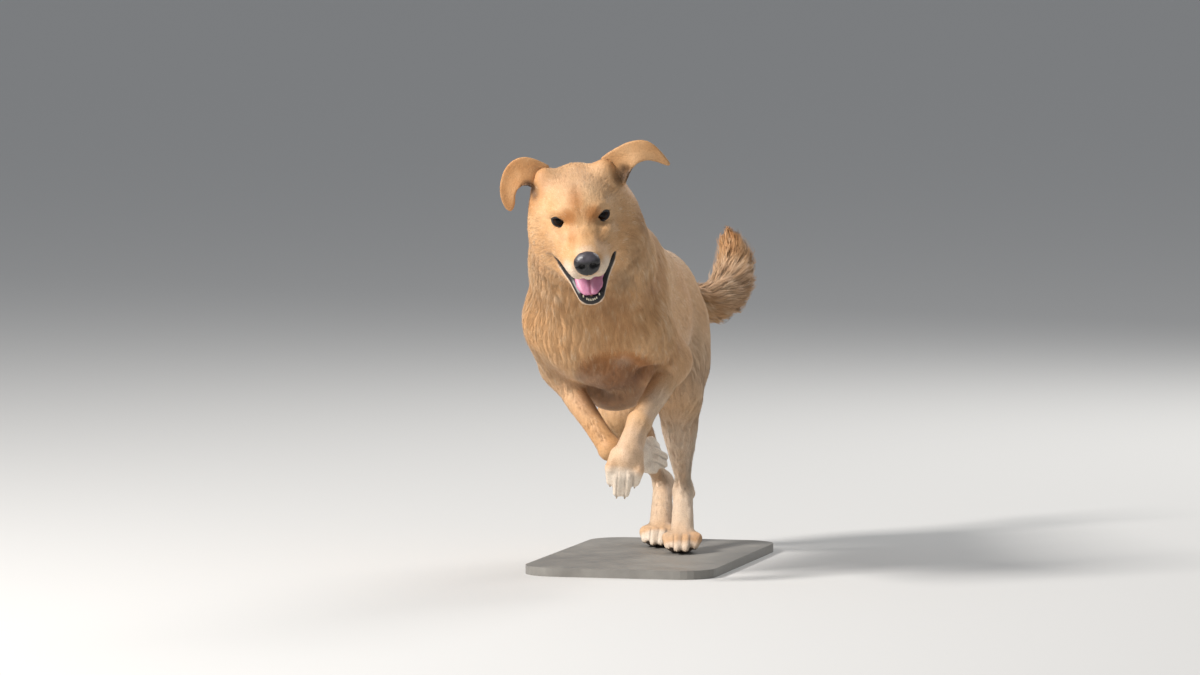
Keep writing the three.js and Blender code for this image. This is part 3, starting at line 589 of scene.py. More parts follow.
# The coat's markings, with painted light and shade among them: soft rust, pale and dark patches of
# the body in the dog's own measure, of the head from its middle, and those of the head that are
# alike on both sides.
DOG_MARKS = [
    # kind, middle, radii, softness, share
    # Under the chest: rust coat, deepened with painted shade.
    ("rust", (44, -290, 352), (62, 120, 50), 0.4, 0.95),
    ("rust", (34, -372, 410), (60, 60, 30), 1.3, 0.35),
    ("rust", (-30, -412, 480), (34, 50, 50), 1.4, 0.30),
    ("rust", (20, -380, 450), (140, 140, 110), 1.3, 0.30),
    # Further back under the chest: rust coat, deepened with painted shade.
    ("rust", (18, -206, 306), (62, 80, 44), 0.5, 0.60),
    ("rust", (66, 460, 560), (80, 90, 60), 1.2, 0.60),
    ("rust", (12, 300, 420), (40, 50, 50), 1.3, 0.40),
    ("rust", (62, 420, 480), (120, 140, 150), 1.0, 0.36),
    ("rust", (0, -40, 610), (150, 380, 60), 1.2, 0.35),
    ("pale", (0, 60, 330), (200, 420, 90), 0.9, 0.30),
    ("pale", (6, -322, 338), (36, 50, 22), 1.0, 0.36),
    ("pale", (62, -314, 370), (18, 40, 18), 1.2, 0.34),
    # Painted light: a pale pool of light on the left forearm.
    ("pale", (100, -210, 330), (34, 80, 60), 1.3, 0.22),
    ("pale", (2, -280, 326), (26, 44, 14), 1.0, 0.34),
    ("pale", (58, 400, 452), (56, 70, 50), 1.4, 0.30),
    ("pale", (64, -352, 142), (60, 60, 62), 0.5, 0.85),
    ("pale", (84, -340, 226), (56, 60, 56), 1.2, 0.42),
    # Painted light on the front of the left forearm.
    ("pale", (114, -266, 296), (30, 60, 50), 1.3, 0.46),
    ("pale", (88, -178, 200), (66, 60, 54), 0.7, 0.90),
    ("pale", (58, 130, 150), (60, 120, 150), 1.2, 0.60),
    ("pale", (-6, 250, 110), (50, 110, 130), 1.2, 0.50),
    ("pale", (80, 36, 14), (60, 56, 26), 0.6, 0.65),
    ("pale", (12, 136, 18), (50, 62, 30), 0.5, 0.90),
    # Painted shade under the chest, between and behind the forelegs.
    ("dark", (28, -290, 344), (54, 130, 50), 0.4, 0.40),
    ("dark", (18, -200, 304), (62, 72, 40), 0.6, 0.42),
    # Painted shade on the left thigh, on the side turned away from the key light.
    ("dark", (96, 150, 370), (60, 130, 120), 1.3, 0.26),
]
HEAD_MARKS = [
    ("rust", (-4, -2, 34), (13, 34, 30), 1.4, 0.72),
    ("rust", (112, 70, 66), (74, 44, 44), 0.5, 0.30),
    ("rust", (-96, 66, 44), (58, 44, 56), 0.5, 0.50),
    ("rust", (-19, -40, -14), (8, 34, 16), 1.4, 0.55),
    ("rust", (-40, -14, -38), (14, 22, 12), 1.4, 0.34),
    ("rust", (-58, 20, -92), (30, 40, 40), 1.3, 0.22),
    ("pale", (0, -84, -20), (18, 16, 8), 1.2, 0.40),
    ("pale", (0, 44, 52), (62, 50, 42), 1.3, 0.26),
    ("pale", (0, -88, -66), (18, 16, 9), 0.6, 0.70),
    ("pale", (0, -46, -138), (36, 44, 13), 0.7, 0.60),
    ("dark", (0, -52, -14), (30, 34, 18), 1.4, 0.10),
    # Painted shadow beside the muzzle's bridge, under the left eye.
    ("dark", (29, -36, -18), (10, 24, 18), 1.3, 0.26),
    # Painted shade on the right cheek, where it turns away.
    ("dark", (-66, 4, -26), (34, 44, 44), 1.5, 0.14),
    # Painted shadow of the head, down the left jaw onto the throat.
    ("dark", (100, 54, -44), (20, 40, 40), 1.5, 0.40),
    ("dark", (78, 16, -80), (20, 34, 36), 1.5, 0.40),
    ("dark", (50, 20, -122), (26, 38, 40), 1.5, 0.44),
    ("dark", (32, 36, -164), (34, 40, 42), 1.5, 0.36),
    # Painted shade in the ears' hollows, under their folds.
    ("dark", (80, 52, 42), (18, 24, 20), 0.8, 0.86),
    ("dark", (-78, 52, 36), (16, 24, 18), 0.8, 0.86),
]
PAIRED_MARKS = [
    ("rust", (19, -16, 13), (16, 18, 14), 1.5, 0.86),
    ("rust", (60, 30, -40), (30, 44, 34), 1.4, 0.30),
    ("pale", (27, -78, -56), (20, 28, 19), 0.9, 0.62),
    ("pale", (42, -22, -68), (14, 26, 6), 1.0, 0.30),
    ("pale", (44, -6, -20), (16, 20, 12), 1.4, 0.20),
]


def marks_at(places):
    """How rusty, pale and dark the coat is painted at some places, from 0 to 1, painted shade and
    light included.
    """
    local = to_head(places)
    near_head = distance(local, (0, 0, -20)) < 240
    on_dog = (places - from_dog(0, 0, 0)) * 1000
    found = {kind: np.zeros(len(places)) for kind in ("rust", "pale", "dark")}
    for table, where, shown in (
        (DOG_MARKS, on_dog, 1),
        (HEAD_MARKS, local, near_head),
        (PAIRED_MARKS, fold(local), near_head),
    ):
        for kind, middle, radii, soft, share in table:
            apart = spans(where, middle, radii)
            mask = share * shown * (1 - step(apart, 1 - soft / 2, 1 + soft / 2))
            found[kind] = np.maximum(found[kind], mask)
    for middle, radii, share in TRACES:
        found["dark"] = np.maximum(found["dark"], swell(fold(local), middle, radii) * share)
    rim = (1 - step(past_lower_lip(local), 1.6, 3.4)) * step(-local[:, 2], 68, 84)
    found["pale"] = np.maximum(found["pale"], rim * 0.6)
    return found


def growth(places):
    """1 where hair grows and 0 on the bare parts: mouth, nose, lids and inside the ears."""
    local = to_head(places)
    grown = step(off_mouth(local), 2.6, 3.4) * step(off_line(local, UPPER_LIP), 0.4, 1.2)
    under = local[:, 2] < mouth_at(local) + 2
    grown *= np.where(under, step(past_lower_lip(local), 0.6, 1.2), 1)
    grown *= spans(local, (0, -90, -38), (23, 17, 16)) > 1
    for eye in EYES.values():
        grown *= step(distance(local, eye), 13.4, 14.4)
    for *_, bare in EAR_HOLLOWS:
        grown *= step(spans(local, bare, (14, 19, 16)), 0.85, 1.0)
    return grown


hairy = growth(places) * step(gap_edge, 9, 12) * (np.maximum(sole, cleft) < 0.6)
marks = marks_at(places)
# Painted shade in the clefts between the toes; below, the soles' own dark skin.
marks["dark"] = np.maximum(marks["dark"], cleft * 0.55)
marks["dark"] = np.maximum(marks["dark"], sole * 0.8)
painted = {"lining": lining, "black": black, "hairy": hairy, **marks}
for kind, values in painted.items():
    add_attribute(skin, kind, values)

# Beyond the reach of the face the finished skin is thinned, because few corners carry its shape
# there, so that this share of its faces is left. What this tears open is cut out and closed.
THINNED_TO, FACE_REACH = 0.745, 170
thinned = skin.vertex_groups.new(name="thinned")
far = distance(to_head(places), (0, 0, -20)) > FACE_REACH
thinned.add(np.nonzero(far)[0].tolist(), 1.0, "REPLACE")
choose(skin)
in_edit_mode(
    (bpy.ops.mesh.remove_doubles, {"threshold": 5e-5}),
    (bpy.ops.mesh.dissolve_degenerate, {"threshold": 5e-5}),
)
apply_modifier("DECIMATE", ratio=THINNED_TO, vertex_group="thinned")
skin.vertex_groups.clear()
for _ in range(3):
    bpy.ops.object.mode_set(mode="EDIT")
    bpy.ops.mesh.select_mode(type="VERT")
    bpy.ops.mesh.select_all(action="DESELECT")
    bpy.ops.mesh.select_non_manifold()
    bpy.ops.mesh.delete(type="VERT")
    bpy.ops.mesh.select_non_manifold()
    bpy.ops.mesh.fill_holes(sides=0)
    bpy.ops.mesh.select_all(action="SELECT")
    bpy.ops.mesh.quads_convert_to_tris()
    bpy.ops.object.mode_set(mode="OBJECT")
hairy = values_of(skin, "hairy")
marks = {kind: values_of(skin, kind) for kind in marks}


class Signal:
    """A shader socket that can be added, multiplied and fed into other nodes."""

    def __init__(self, tree, socket=None):
        self.tree = tree
        self.socket = socket

    def node(self, kind, settings=(), sockets=(), out=0):
        made = self.tree.nodes.new(kind)
        for key, value in dict(settings).items():
            if key == "stops":
                ramp = made.color_ramp.elements
                while len(ramp) < len(value):
                    ramp.new(0.5)
                for stop, (position, colour) in zip(ramp, value):
                    stop.position = position
                    stop.color = (*colour, 1)
            else:
                setattr(made, key, value)
        for key, value in dict(sockets).items():
            if isinstance(value, Signal):
                self.tree.links.new(value.socket, made.inputs[key])
            else:
                made.inputs[key].default_value = value
        return Signal(self.tree, made.outputs[out])

    def math(self, operation, first, second):
        return self.node("ShaderNodeMath", {"operation": operation}, {0: first, 1: second})

    def __add__(self, other):
        return self.math("ADD", self, other)

    def __sub__(self, other):
        return self.math("SUBTRACT", self, other)

    def __rsub__(self, other):
        return self.math("SUBTRACT", other, self)

    def __mul__(self, other):
        return self.math("MULTIPLY", self, other)

    __radd__ = __add__
    __rmul__ = __mul__

    def ramp(self, low, high, start=0.0, end=1.0):
        """A soft rise from `start` to `end` as this goes from `low` to `high`."""
        return self.node(
            "ShaderNodeMapRange",
            {"interpolation_type": "SMOOTHSTEP"},
            {"Value": self, "From Min": low, "From Max": high, "To Min": start, "To Max": end},
        )

    def towards(self, colour, share):
        """This colour mixed with another by `share`."""
        return self.node(
            "ShaderNodeMix", {"data_type": "RGBA"}, {0: share, 6: self, 7: colour}, out=2
        )


def linear(hex_colour):
    """The shader value of a colour written as it looks."""
    parts = [int(hex_colour[i:i + 2], 16) / 255 for i in (1, 3, 5)]
    return tuple(
        part / 12.92 if part <= 0.04045 else ((part + 0.055) / 1.055) ** 2.4 for part in parts
    )


def shades(signal, *stops):
    """The colours that a signal runs through, each after the value it comes at."""
    stops = [(at, linear(colour)) for at, colour in stops]
    return signal.node("ShaderNodeValToRGB", {"stops": stops}, {"Fac": signal})


def noise(here, scale, detail=2.0):
    return here.node("ShaderNodeTexNoise", {}, {"Vector": here, "Scale": scale, "Detail": detail})


def painted_on(wire, name):
    """A value that is painted on the corners of the piece."""
    return wire.node("ShaderNodeAttribute", {"attribute_name": name}, out=2)


def bumps(height, strength, depth, invert=False):
    sockets = {"Strength": strength, "Distance": depth, "Height": height}
    return height.node("ShaderNodeBump", {"invert": invert}, sockets)


def new_material(name, **uniform):
    """A material with the shader values that are the same all over it."""
    material = bpy.data.materials.new(name)
    material.use_nodes = True
    shader = material.node_tree.nodes["Principled BSDF"]
    for key, value in uniform.items():
        shader.inputs[key.replace("_", " ")].default_value = value
    return material, shader, Signal(material.node_tree)


def feed(shader, **signals):
    for key, signal in signals.items():
        signal.tree.links.new(signal.socket, shader.inputs[key.replace("_", " ")])


def coat_colour(wire):
    """The coat's colour by place and mark, shared by the skin and every tuft on it."""
    here = wire.node("ShaderNodeTexCoord", out=3)
    drift = noise(here, 9.0, 3.0)
    fleck = noise(here, 55.0, 3.0)
    tan = drift * 0.7 + fleck * 0.3
    colour = shades(tan, (0.3, "#cf9a66"), (0.5, "#dbab78"), (0.7, "#e5bc8e"))
    for kind, shade in (("rust", "#b9793d"), ("pale", "#efe2d0"), ("dark", "#3c2a1e")):
        ragged = painted_on(wire, kind) * (1.25 - fleck * 0.5)
        colour = colour.towards((*linear(shade), 1), ragged.ramp(0.0, 1.0))
    return colour, here


hide, shader, wire = new_material("hide", Roughness=0.62)
colour, here = coat_colour(wire)
speckle = noise(here, 420.0, 3.0)
plain = 1 - painted_on(wire, "dark")
colour = colour.towards((*linear("#8a6038"), 1), speckle.ramp(0.42, 0.7, 0.14, 0.34) * plain)
inner = painted_on(wire, "lining")
black = painted_on(wire, "black")
colour = colour.towards((*linear("#2b1518"), 1), inner)
colour = colour.towards((*linear("#161112"), 1), black)
feed(
    shader,
    Base_Color=colour,
    Roughness=0.62 - black * 0.2 - inner * 0.2,
    Normal=bumps(speckle * (1 - black), 0.5, 0.0012),
)
skin.data.materials.append(hide)
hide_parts(*(name for *_, names in CASTS for name in names
                    if name != "nose" and not name.startswith("eye")))
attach(skin, "root")

# ------------------------------------------------------------------------------------- eyes
# Wet, dark brown eyeballs with a black pupil, set deep behind the lids. Each is a ball whose
# pole points where the dog looks, with a slightly raised clear front.
eyeball, shader, wire = new_material(
    "eyeball", Roughness=0.08, IOR=1.33, Specular_IOR_Level=0.3
)
rings = wire.node("ShaderNodeUVMap", {"uv_map": "Rings"})
outward = wire.node("ShaderNodeSeparateXYZ", {}, {"Vector": rings}, out=0)
feed(shader, Base_Color=wire.node(
    "ShaderNodeValToRGB",
    {"stops": [(0.0, (0.001, 0.001, 0.001)), (0.15, (0.002, 0.001, 0.001)),
               (0.2, linear("#24130a")), (0.33, linear("#180d08")),
               (0.38, linear("#0c0706")), (0.55, linear("#2a1d18"))]},
    {"Fac": outward},
))
for side, eye in EYES.items():
    middle = Vector(from_head(*eye))
    bpy.ops.mesh.primitive_uv_sphere_add(segments=40, ring_count=28, radius=EYE_RADIUS / 1000)
    ball = bpy.context.object
    ball.name = "eyeball_" + side
    shape = corners_of(ball)
    tilt = np.arccos(np.clip(shape[:, 2] / (EYE_RADIUS / 1000), -1, 1)) / math.pi
    shape *= (1 + 0.035 * (1 - step(tilt, 0.12, 0.24)))[:, None]
    rings_map = ball.data.uv_layers.new(name="Rings")
    ringed = tilt[read(ball.data.loops, "vertex_index", 1, np.int32)]
    rings_map.data.foreach_set("uv", np.stack([ringed, ringed * 0], 1).ravel())
    look = (Vector(CAMERA_AT) - middle).normalized()
    turn = np.array(look.to_track_quat("Z", "Y").to_matrix())
    put_corners(ball, shape @ turn.T + np.array(middle))
    bpy.ops.object.shade_smooth()
    ball.data.materials.append(eyeball)
    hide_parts("eye_" + side)
    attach(ball, "root")

# ------------------------------------------------------------------------------------- nose
# A damp, pebbled pad of dark leather with two comma nostrils and a groove below. It is cast
# from its solid, smoothed, and the nostrils are sunk into it with two balls each.
def cast_of(solid, name, grow, grain, turns):
    """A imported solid, swelled and cast anew in voxels, and its smoothed shape."""
    cast = copy_of(solid)
    choose(cast)
    cast.name = name
    cast.data.materials.clear()
    if grow:
        apply_modifier("DISPLACE", strength=grow, mid_level=0)
    apply_modifier("REMESH", mode="VOXEL", voxel_size=grain)
    return cast, smoothed(corners_of(cast), edges_of(cast), turns)


nose, shape = cast_of("nose", "nose_leather", 0.0012, 0.0011, 12)
local = to_head(shape)
low = np.exp(-((local[:, 2] + 54) / 9) ** 2)
local[:, 0] *= 0.95 + 0.15 * low
local[:, 2] += 5 * step(-local[:, 2], 52, 66)
put_corners(nose, out_of_head(local))
push = normals_of(nose) @ HEAD_AXES
for out in (-1, 1):
    for middle, radii, sink in (
        ((out * 9.5, -101, -40), (5.8, 9, 5.4), 6.0),
        ((out * 15, -96, -42), (5.5, 9, 2.8), 3.2),
    ):
        share = np.exp(-np.sum(((local - middle) / radii) ** 2, axis=1) ** 2)
        local = local - push * (sink * share)[:, None]
groove = np.exp(-(local[:, 0] / 1.6) ** 2) * step(-local[:, 2], 34, 44)
local = local - push * (1.0 * groove)[:, None]
put_corners(nose, out_of_head(local))
bpy.ops.object.shade_smooth()
# The nostrils are painted near black where they are sunk: painted shade inside them.
nostril = np.zeros(len(local))
for out in (-1, 1):
    for middle, radii in (
        ((out * 9.5, -101, -40.5), (6.0, 12, 5.6)), ((out * 15, -96, -42.5), (5.5, 12, 3.0)),
    ):
        nostril = np.maximum(nostril, 1 - step(spans(local, middle, radii), 0.75, 1.15))
add_attribute(nose, "nostril", nostril)
leather, shader, wire = new_material("nose_leather", Coat_Roughness=0.3)
here = wire.node("ShaderNodeTexCoord", out=3)
pebbles = wire.node(
    "ShaderNodeTexVoronoi", {"feature": "SMOOTH_F1"}, {"Vector": here, "Scale": 620.0}
)
haze = noise(here, 60.0, 4.0)
# The top of the leather is painted lighter grey: a painted highlight where light falls on it from
# above.
add_attribute(nose, "top", step(local[:, 2], -38, -28))
tint_and_painted_light = haze * 0.6 + painted_on(wire, "top") * 0.45
colour = shades(tint_and_painted_light, (0.25, "#0e0c0f"), (0.55, "#19161a"), (0.95, "#565159"))
pit = painted_on(wire, "nostril")
feed(
    shader,
    Base_Color=colour.towards((0.002, 0.0015, 0.0015, 1), pit),
    Roughness=haze.ramp(0.3, 0.7, 0.34, 0.55) + pit * 0.4,
    Coat_Weight=0.25 - pit * 0.25,
    Normal=bumps(pebbles, 0.55, 0.0006, invert=True),
)
nose.data.materials.append(leather)
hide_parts("nose")
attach(nose, "root")

# ------------------------------------------------------------------------------------ teeth
# Small ivory teeth show at the front of the lower jaw: six in a row and two short canines.
ivory, shader, wire = new_material("ivory", Roughness=0.25, Coat_Weight=0.3)
here = wire.node("ShaderNodeTexCoord", out=3)
feed(shader, Base_Color=shades(noise(here, 150.0), (0.35, "#c9bda0"), (0.65, "#ded5c0")))


def joined(name, pieces, material):
    choose(*pieces)
    bpy.ops.object.join()
    whole = bpy.context.object
    whole.name = name
    whole.data.materials.append(material)
    return whole


TEETH = [
    # across, back, up, radius, height
    (1.8, -64, -118, 1.1, 3.4), (5.0, -63, -117.7, 1.1, 3.4), (8.0, -61, -117, 1.1, 3.6),
    (13.2, -55, -114, 1.4, 4.2),
]
teeth = []
for across, back, up, radius, height in TEETH:
    for out in (-1, 1):
        bpy.ops.mesh.primitive_cone_add(
            vertices=10, radius1=radius / 1000, radius2=radius * 0.6 / 1000,
            depth=height / 1000,
        )
        tooth = bpy.context.object
        apply_modifier("BEVEL", width=0.0006, segments=2)
        shape = corners_of(tooth) * (1, 0.8, 1)
        put_corners(tooth, from_head(out * across, back, up) + shape @ HEAD_AXES.T)
        bpy.ops.object.shade_smooth()
        teeth.append(tooth)
teeth = joined("teeth", teeth, ivory)
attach(teeth, "root")

# ------------------------------------------------------------------------------------ claws
# Each toe ends in a short, blunt cone of horn that points ahead and down, streaked dark and pale.
horn, shader, wire = new_material("horn", Roughness=0.35, Coat_Weight=0.2)
here = wire.node("ShaderNodeTexCoord", out=3)
streak = noise(here, 260.0, 3.0)
feed(shader, Base_Color=shades(streak, (0.3, "#a39180"), (0.55, "#bba994"), (0.8, "#d3c5b2")))
claws = []
for toe_root, ahead, side, lift, spacing, reach, arch in PAWS:
    ahead, side, lift = unit(ahead), unit(side), unit(lift)
    for slot in (-1.5, -0.5, 0.5, 1.5):
        far = reach if abs(slot) < 1 else reach * 0.78 - 5
        tip = np.array(toe_root) + ahead * far + side * (slot * spacing * 0.88) - lift * arch
        way = unit(ahead - 0.35 * lift)
        bpy.ops.mesh.primitive_cone_add(
            vertices=12, radius1=0.003, radius2=0.001, depth=0.0095,
            location=from_dog(*(tip + way * 5.8)),
            rotation=Vector(way).to_track_quat("Z", "Y").to_euler(),
        )
        bpy.ops.object.transform_apply()
        apply_modifier("BEVEL", width=0.0007, segments=2)
        bpy.ops.object.shade_smooth()
        claws.append(bpy.context.object)
claws = joined("claws", claws, horn)
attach(claws, "root")

# ----------------------------------------------------------------------------------- tongue
# Soft wet flesh that lies in the lower jaw, with a groove down its middle.
tongue, shape = cast_of("tongue", "tongue_flesh", 0, 0.0014, 14)
put_corners(tongue, shape)
local = to_head(shape)
push = normals_of(tongue) @ HEAD_AXES
groove = np.exp(-(local[:, 0] / 2.4) ** 2) * (push[:, 2] > 0.2)
local = local - (0, 0, 1) * (2.2 * groove)[:, None]
local[:, 2] += 1.8 * np.exp(-((np.abs(local[:, 0]) - 14) / 8) ** 2) * (push[:, 2] > 0)
put_corners(tongue, out_of_head(local))
add_attribute(tongue, "groove", groove)
bpy.ops.object.shade_smooth()
flesh, shader, wire = new_material("tongue_flesh", Subsurface_Weight=0.15, Coat_Weight=0.15,
                                   Coat_Roughness=0.35)
shader.inputs["Subsurface Radius"].default_value = (0.006, 0.002, 0.0015)
here = wire.node("ShaderNodeTexCoord", out=3)
buds = wire.node("ShaderNodeTexVoronoi", {}, {"Vector": here, "Scale": 700.0})
tint = noise(here, 45.0, 3.0)
colour = shades(tint, (0.3, "#b8708f"), (0.6, "#cd8aa9"), (0.8, "#dda6bd"))
# The groove down the middle is painted darker: painted shade in the crease.
feed(
    shader,
    Base_Color=colour.towards((*linear("#8e4a66"), 1), painted_on(wire, "groove") * 0.7),
    Roughness=tint.ramp(0.3, 0.7, 0.42, 0.6),
    Normal=bumps(buds, 0.4, 0.0005),
)
tongue.data.materials.append(flesh)
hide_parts("tongue")
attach(tongue, "root")

# ------------------------------------------------------------------------------------- coat
# A dense double coat, short on the face and legs, longer on the neck, breeches and tail. Each
# tuft is a flat tapered lock of hair, rooted in the skin and laid the way the coat grows.
SHORT_TUFTS = 282000
LONG_TUFTS = 33000
PIECE_SIZE = 190000


def unwrap(piece):
    piece.data.uv_layers.new(name="OFBake")
    choose(piece)
    in_edit_mode((bpy.ops.uv.smart_project, {"angle_limit": 1.15, "island_margin": 0.001}))


def laid_flat(lie, normals, least):
    """Ways turned into the surface, a length of 1 where they are not shorter than `least`."""
    lie = lie - normals * np.sum(lie * normals, 1)[:, None]
    return lie / np.maximum(np.linalg.norm(lie, axis=1), least)[:, None]


def coat_over(piece):
    """The lie of the coat at each corner of the skin, evened out over it, and its measures."""
    normals, edges = normals_of(piece), edges_of(piece)
    lie, coat = coat_at(corners_of(piece))
    lie = lie + (0, 0, -0.2)
    for _ in range(8):
        lie = smoothed(laid_flat(lie, normals, 0.05), edges, 5)
    return lie, smoothed(coat, edges, 10)


def tuft_roots(piece, lie, coat, count, longer, rng):
    """Random roots on the skin, crowded as the coat is, with all that a tuft takes from it."""
    piece.data.calc_loop_triangles()
    triangles = piece.data.loop_triangles
    corners = read(triangles, "vertices", 3, np.int32)
    loops = read(triangles, "loops", 3, np.int32)
    places, normals = corners_of(piece), normals_of(piece)
    unwrapped = read(piece.data.uv_layers["OFBake"].data, "uv", 2, np.float32).astype(float)
    a, b, c = (places[corners[:, k]] for k in range(3))
    area = np.linalg.norm(np.cross(b - a, c - a), axis=1) / 2
    share = step(coat[corners, 0].mean(1), 19, 26)
    share = share if longer else 1 - share
    chance = area * coat[corners, 3].mean(1) * hairy[corners].min(1) * share
    face = rng.choice(len(area), count, p=chance / chance.sum())
    u, v = rng.random(count), rng.random(count)
    flip = u + v > 1
    u[flip], v[flip] = 1 - u[flip], 1 - v[flip]
    shares = np.stack([1 - u - v, u, v], 1)[:, :, None]
    root = np.sum(places[corners[face]] * shares, 1)
    normal = np.sum(normals[corners[face]] * shares, 1)
    patch = np.sum(unwrapped[loops[face]] * shares, 1)
    tint_and_painted_light = {kind: np.sum(values[corners[face]] * shares[:, :, 0], 1)
            for kind, values in marks.items()}
    normal /= np.linalg.norm(normal, axis=1)[:, None]
    lie = laid_flat(np.sum(lie[corners[face]] * shares, 1), normal, 1e-6)
    return root, normal, lie, np.sum(coat[corners[face]] * shares, 1), patch, tint_and_painted_light


def build_tufts(name, rings, root, normal, lie, side, shift, lit, size, patch, tone, tint_and_painted_light):
    """One mesh of many tufts: each has three-cornered rings along it and then its tip."""
    length, width, lift = (column[:, None] for column in size.T)
    rows, facings = [], []
    for share in rings:
        middle = (
            root - normal * 0.0008 * (share == 0) + lie * length * share
            + normal * lift * (1 - (1 - share) ** 2) * 0.9 + shift * share ** 2
        )
        half = width * (0.5 - 0.16 * share)
        rows += [middle - side * half, middle + side * half, middle + normal * half * 0.5]
        facings += [lit - side * 0.5, lit + side * 0.5, lit - lie * 0.3]
    rows.append(root + lie * length + normal * lift * 0.75 + shift)
    facings.append(lit + lie * 0.3)
    count, stride = len(root), len(rows)
    pattern = [(0, 1, 2)]
    for first in range(0, stride - 4, 3):
        pattern += [(first + k, first + 3 + k, first + 3 + (k + 1) % 3, first + (k + 1) % 3)
                    for k in range(3)]
    pattern += [(stride - 4 + (k + 1) % 3, stride - 4 + k, stride - 1) for k in range(3)]
    sizes = np.array([len(face) for face in pattern])
    flat = np.concatenate([np.array(face) for face in pattern])
    loops = (np.arange(count)[:, None] * stride + flat).ravel()
    mesh = bpy.data.meshes.new(name)
    mesh.vertices.add(count * stride)
    mesh.vertices.foreach_set("co", np.stack(rows, 1).astype(np.float32).ravel())
    mesh.loops.add(len(loops))
    mesh.loops.foreach_set("vertex_index", loops.astype(np.int32))
    mesh.polygons.add(count * len(pattern))
    starts = np.concatenate([[0], np.cumsum(np.tile(sizes, count))[:-1]])
    mesh.polygons.foreach_set("loop_start", starts.astype(np.int32))
    mesh.polygons.foreach_set("loop_total", np.tile(sizes, count).astype(np.int32))
    mesh.polygons.foreach_set("use_smooth", np.ones(count * len(pattern), bool))
    mesh.update()
    facings = np.stack(facings, 1).reshape(-1, 3)
    facings /= np.linalg.norm(facings, axis=1)[:, None]
    mesh.normals_split_custom_set_from_vertices(facings.astype(np.float32))
    ring = np.array([(-1, -1), (1, -1), (0, -1), (-1, 0), (1, 0), (0, 0)])[:stride - 1]
    spread = np.concatenate([ring, [(0, 1)]]) * 0.0015
    bake = mesh.uv_layers.new(name="OFBake")
    bake.data.foreach_set("uv", (patch[:, None] + spread[flat]).astype(np.float32).ravel())
    along = np.repeat(np.array([*rings, 1.0]), [3] * len(rings) + [1])[flat]
    lock = mesh.uv_layers.new(name="Lock")
    pair = np.stack([np.repeat(tone, len(flat)), np.tile(along, count)], 1)
    lock.data.foreach_set("uv", pair.astype(np.float32).ravel())
    piece = bpy.data.objects.new(name, mesh)
    bpy.context.scene.collection.objects.link(piece)
    for kind, values in tint_and_painted_light.items():
        add_attribute(piece, kind, np.repeat(values, stride))
    return piece


fur, shader, wire = new_material("fur", Roughness=0.6, Sheen_Weight=0.06, Sheen_Roughness=0.4)
colour, here = coat_colour(wire)
lock = wire.node("ShaderNodeUVMap", {"uv_map": "Lock"})
tone = wire.node("ShaderNodeSeparateXYZ", {}, {"Vector": lock}, out=0)
along = wire.node("ShaderNodeSeparateXYZ", {}, {"Vector": lock}, out=1)
plain = 1 - painted_on(wire, "dark")
colour = colour.towards((*linear("#96673c"), 1), tone.ramp(0.0, 0.45, 0.52, 0.0) * plain)
colour = colour.towards((*linear("#f6e3c4"), 1), tone.ramp(0.6, 1.0, 0.0, 0.44) * plain)
colour = colour.towards((*linear("#84582f"), 1), along.ramp(0.0, 0.7, 0.30, 0.0) * plain)
feed(shader, Base_Color=colour)


def waves(places, scale, seed):
    """A smooth random value between -1 and 1 over space, with lumps about `scale` across."""
    rng = np.random.default_rng(seed)
    total = np.zeros(len(places))
    for _ in range(7):
        way = rng.normal(size=3)
        way *= 2 * math.pi / scale / np.linalg.norm(way) * rng.uniform(0.6, 1.4)
        total += np.sin(places @ way + rng.uniform(0, 2 * math.pi))
    return total / 3.2


def locks_of(root, normal, lie, length, rng):
    """The lock each root belongs to, and how far the lock's middle line is to its side."""
    middles = root[rng.random(len(root)) < 1 / (12 + 26 * step(length, 0.008, 0.018))]
    tree = KDTree(len(middles))
    for number, place in enumerate(middles):
        tree.insert(place, number)
    tree.balance()
    near = np.array([[hit[1] for hit in tree.find_n(place, 4)] for place in root])
    apart = middles[near] - root[:, None]
    across = np.sum(apart * np.cross(lie, normal)[:, None], 2)
    along = np.sum(apart * lie[:, None], 2)
    best = np.argmin(across ** 2 + (along * 0.4) ** 2, 1)
    rows = np.arange(len(root))
    return near[rows, best], across[rows, best]


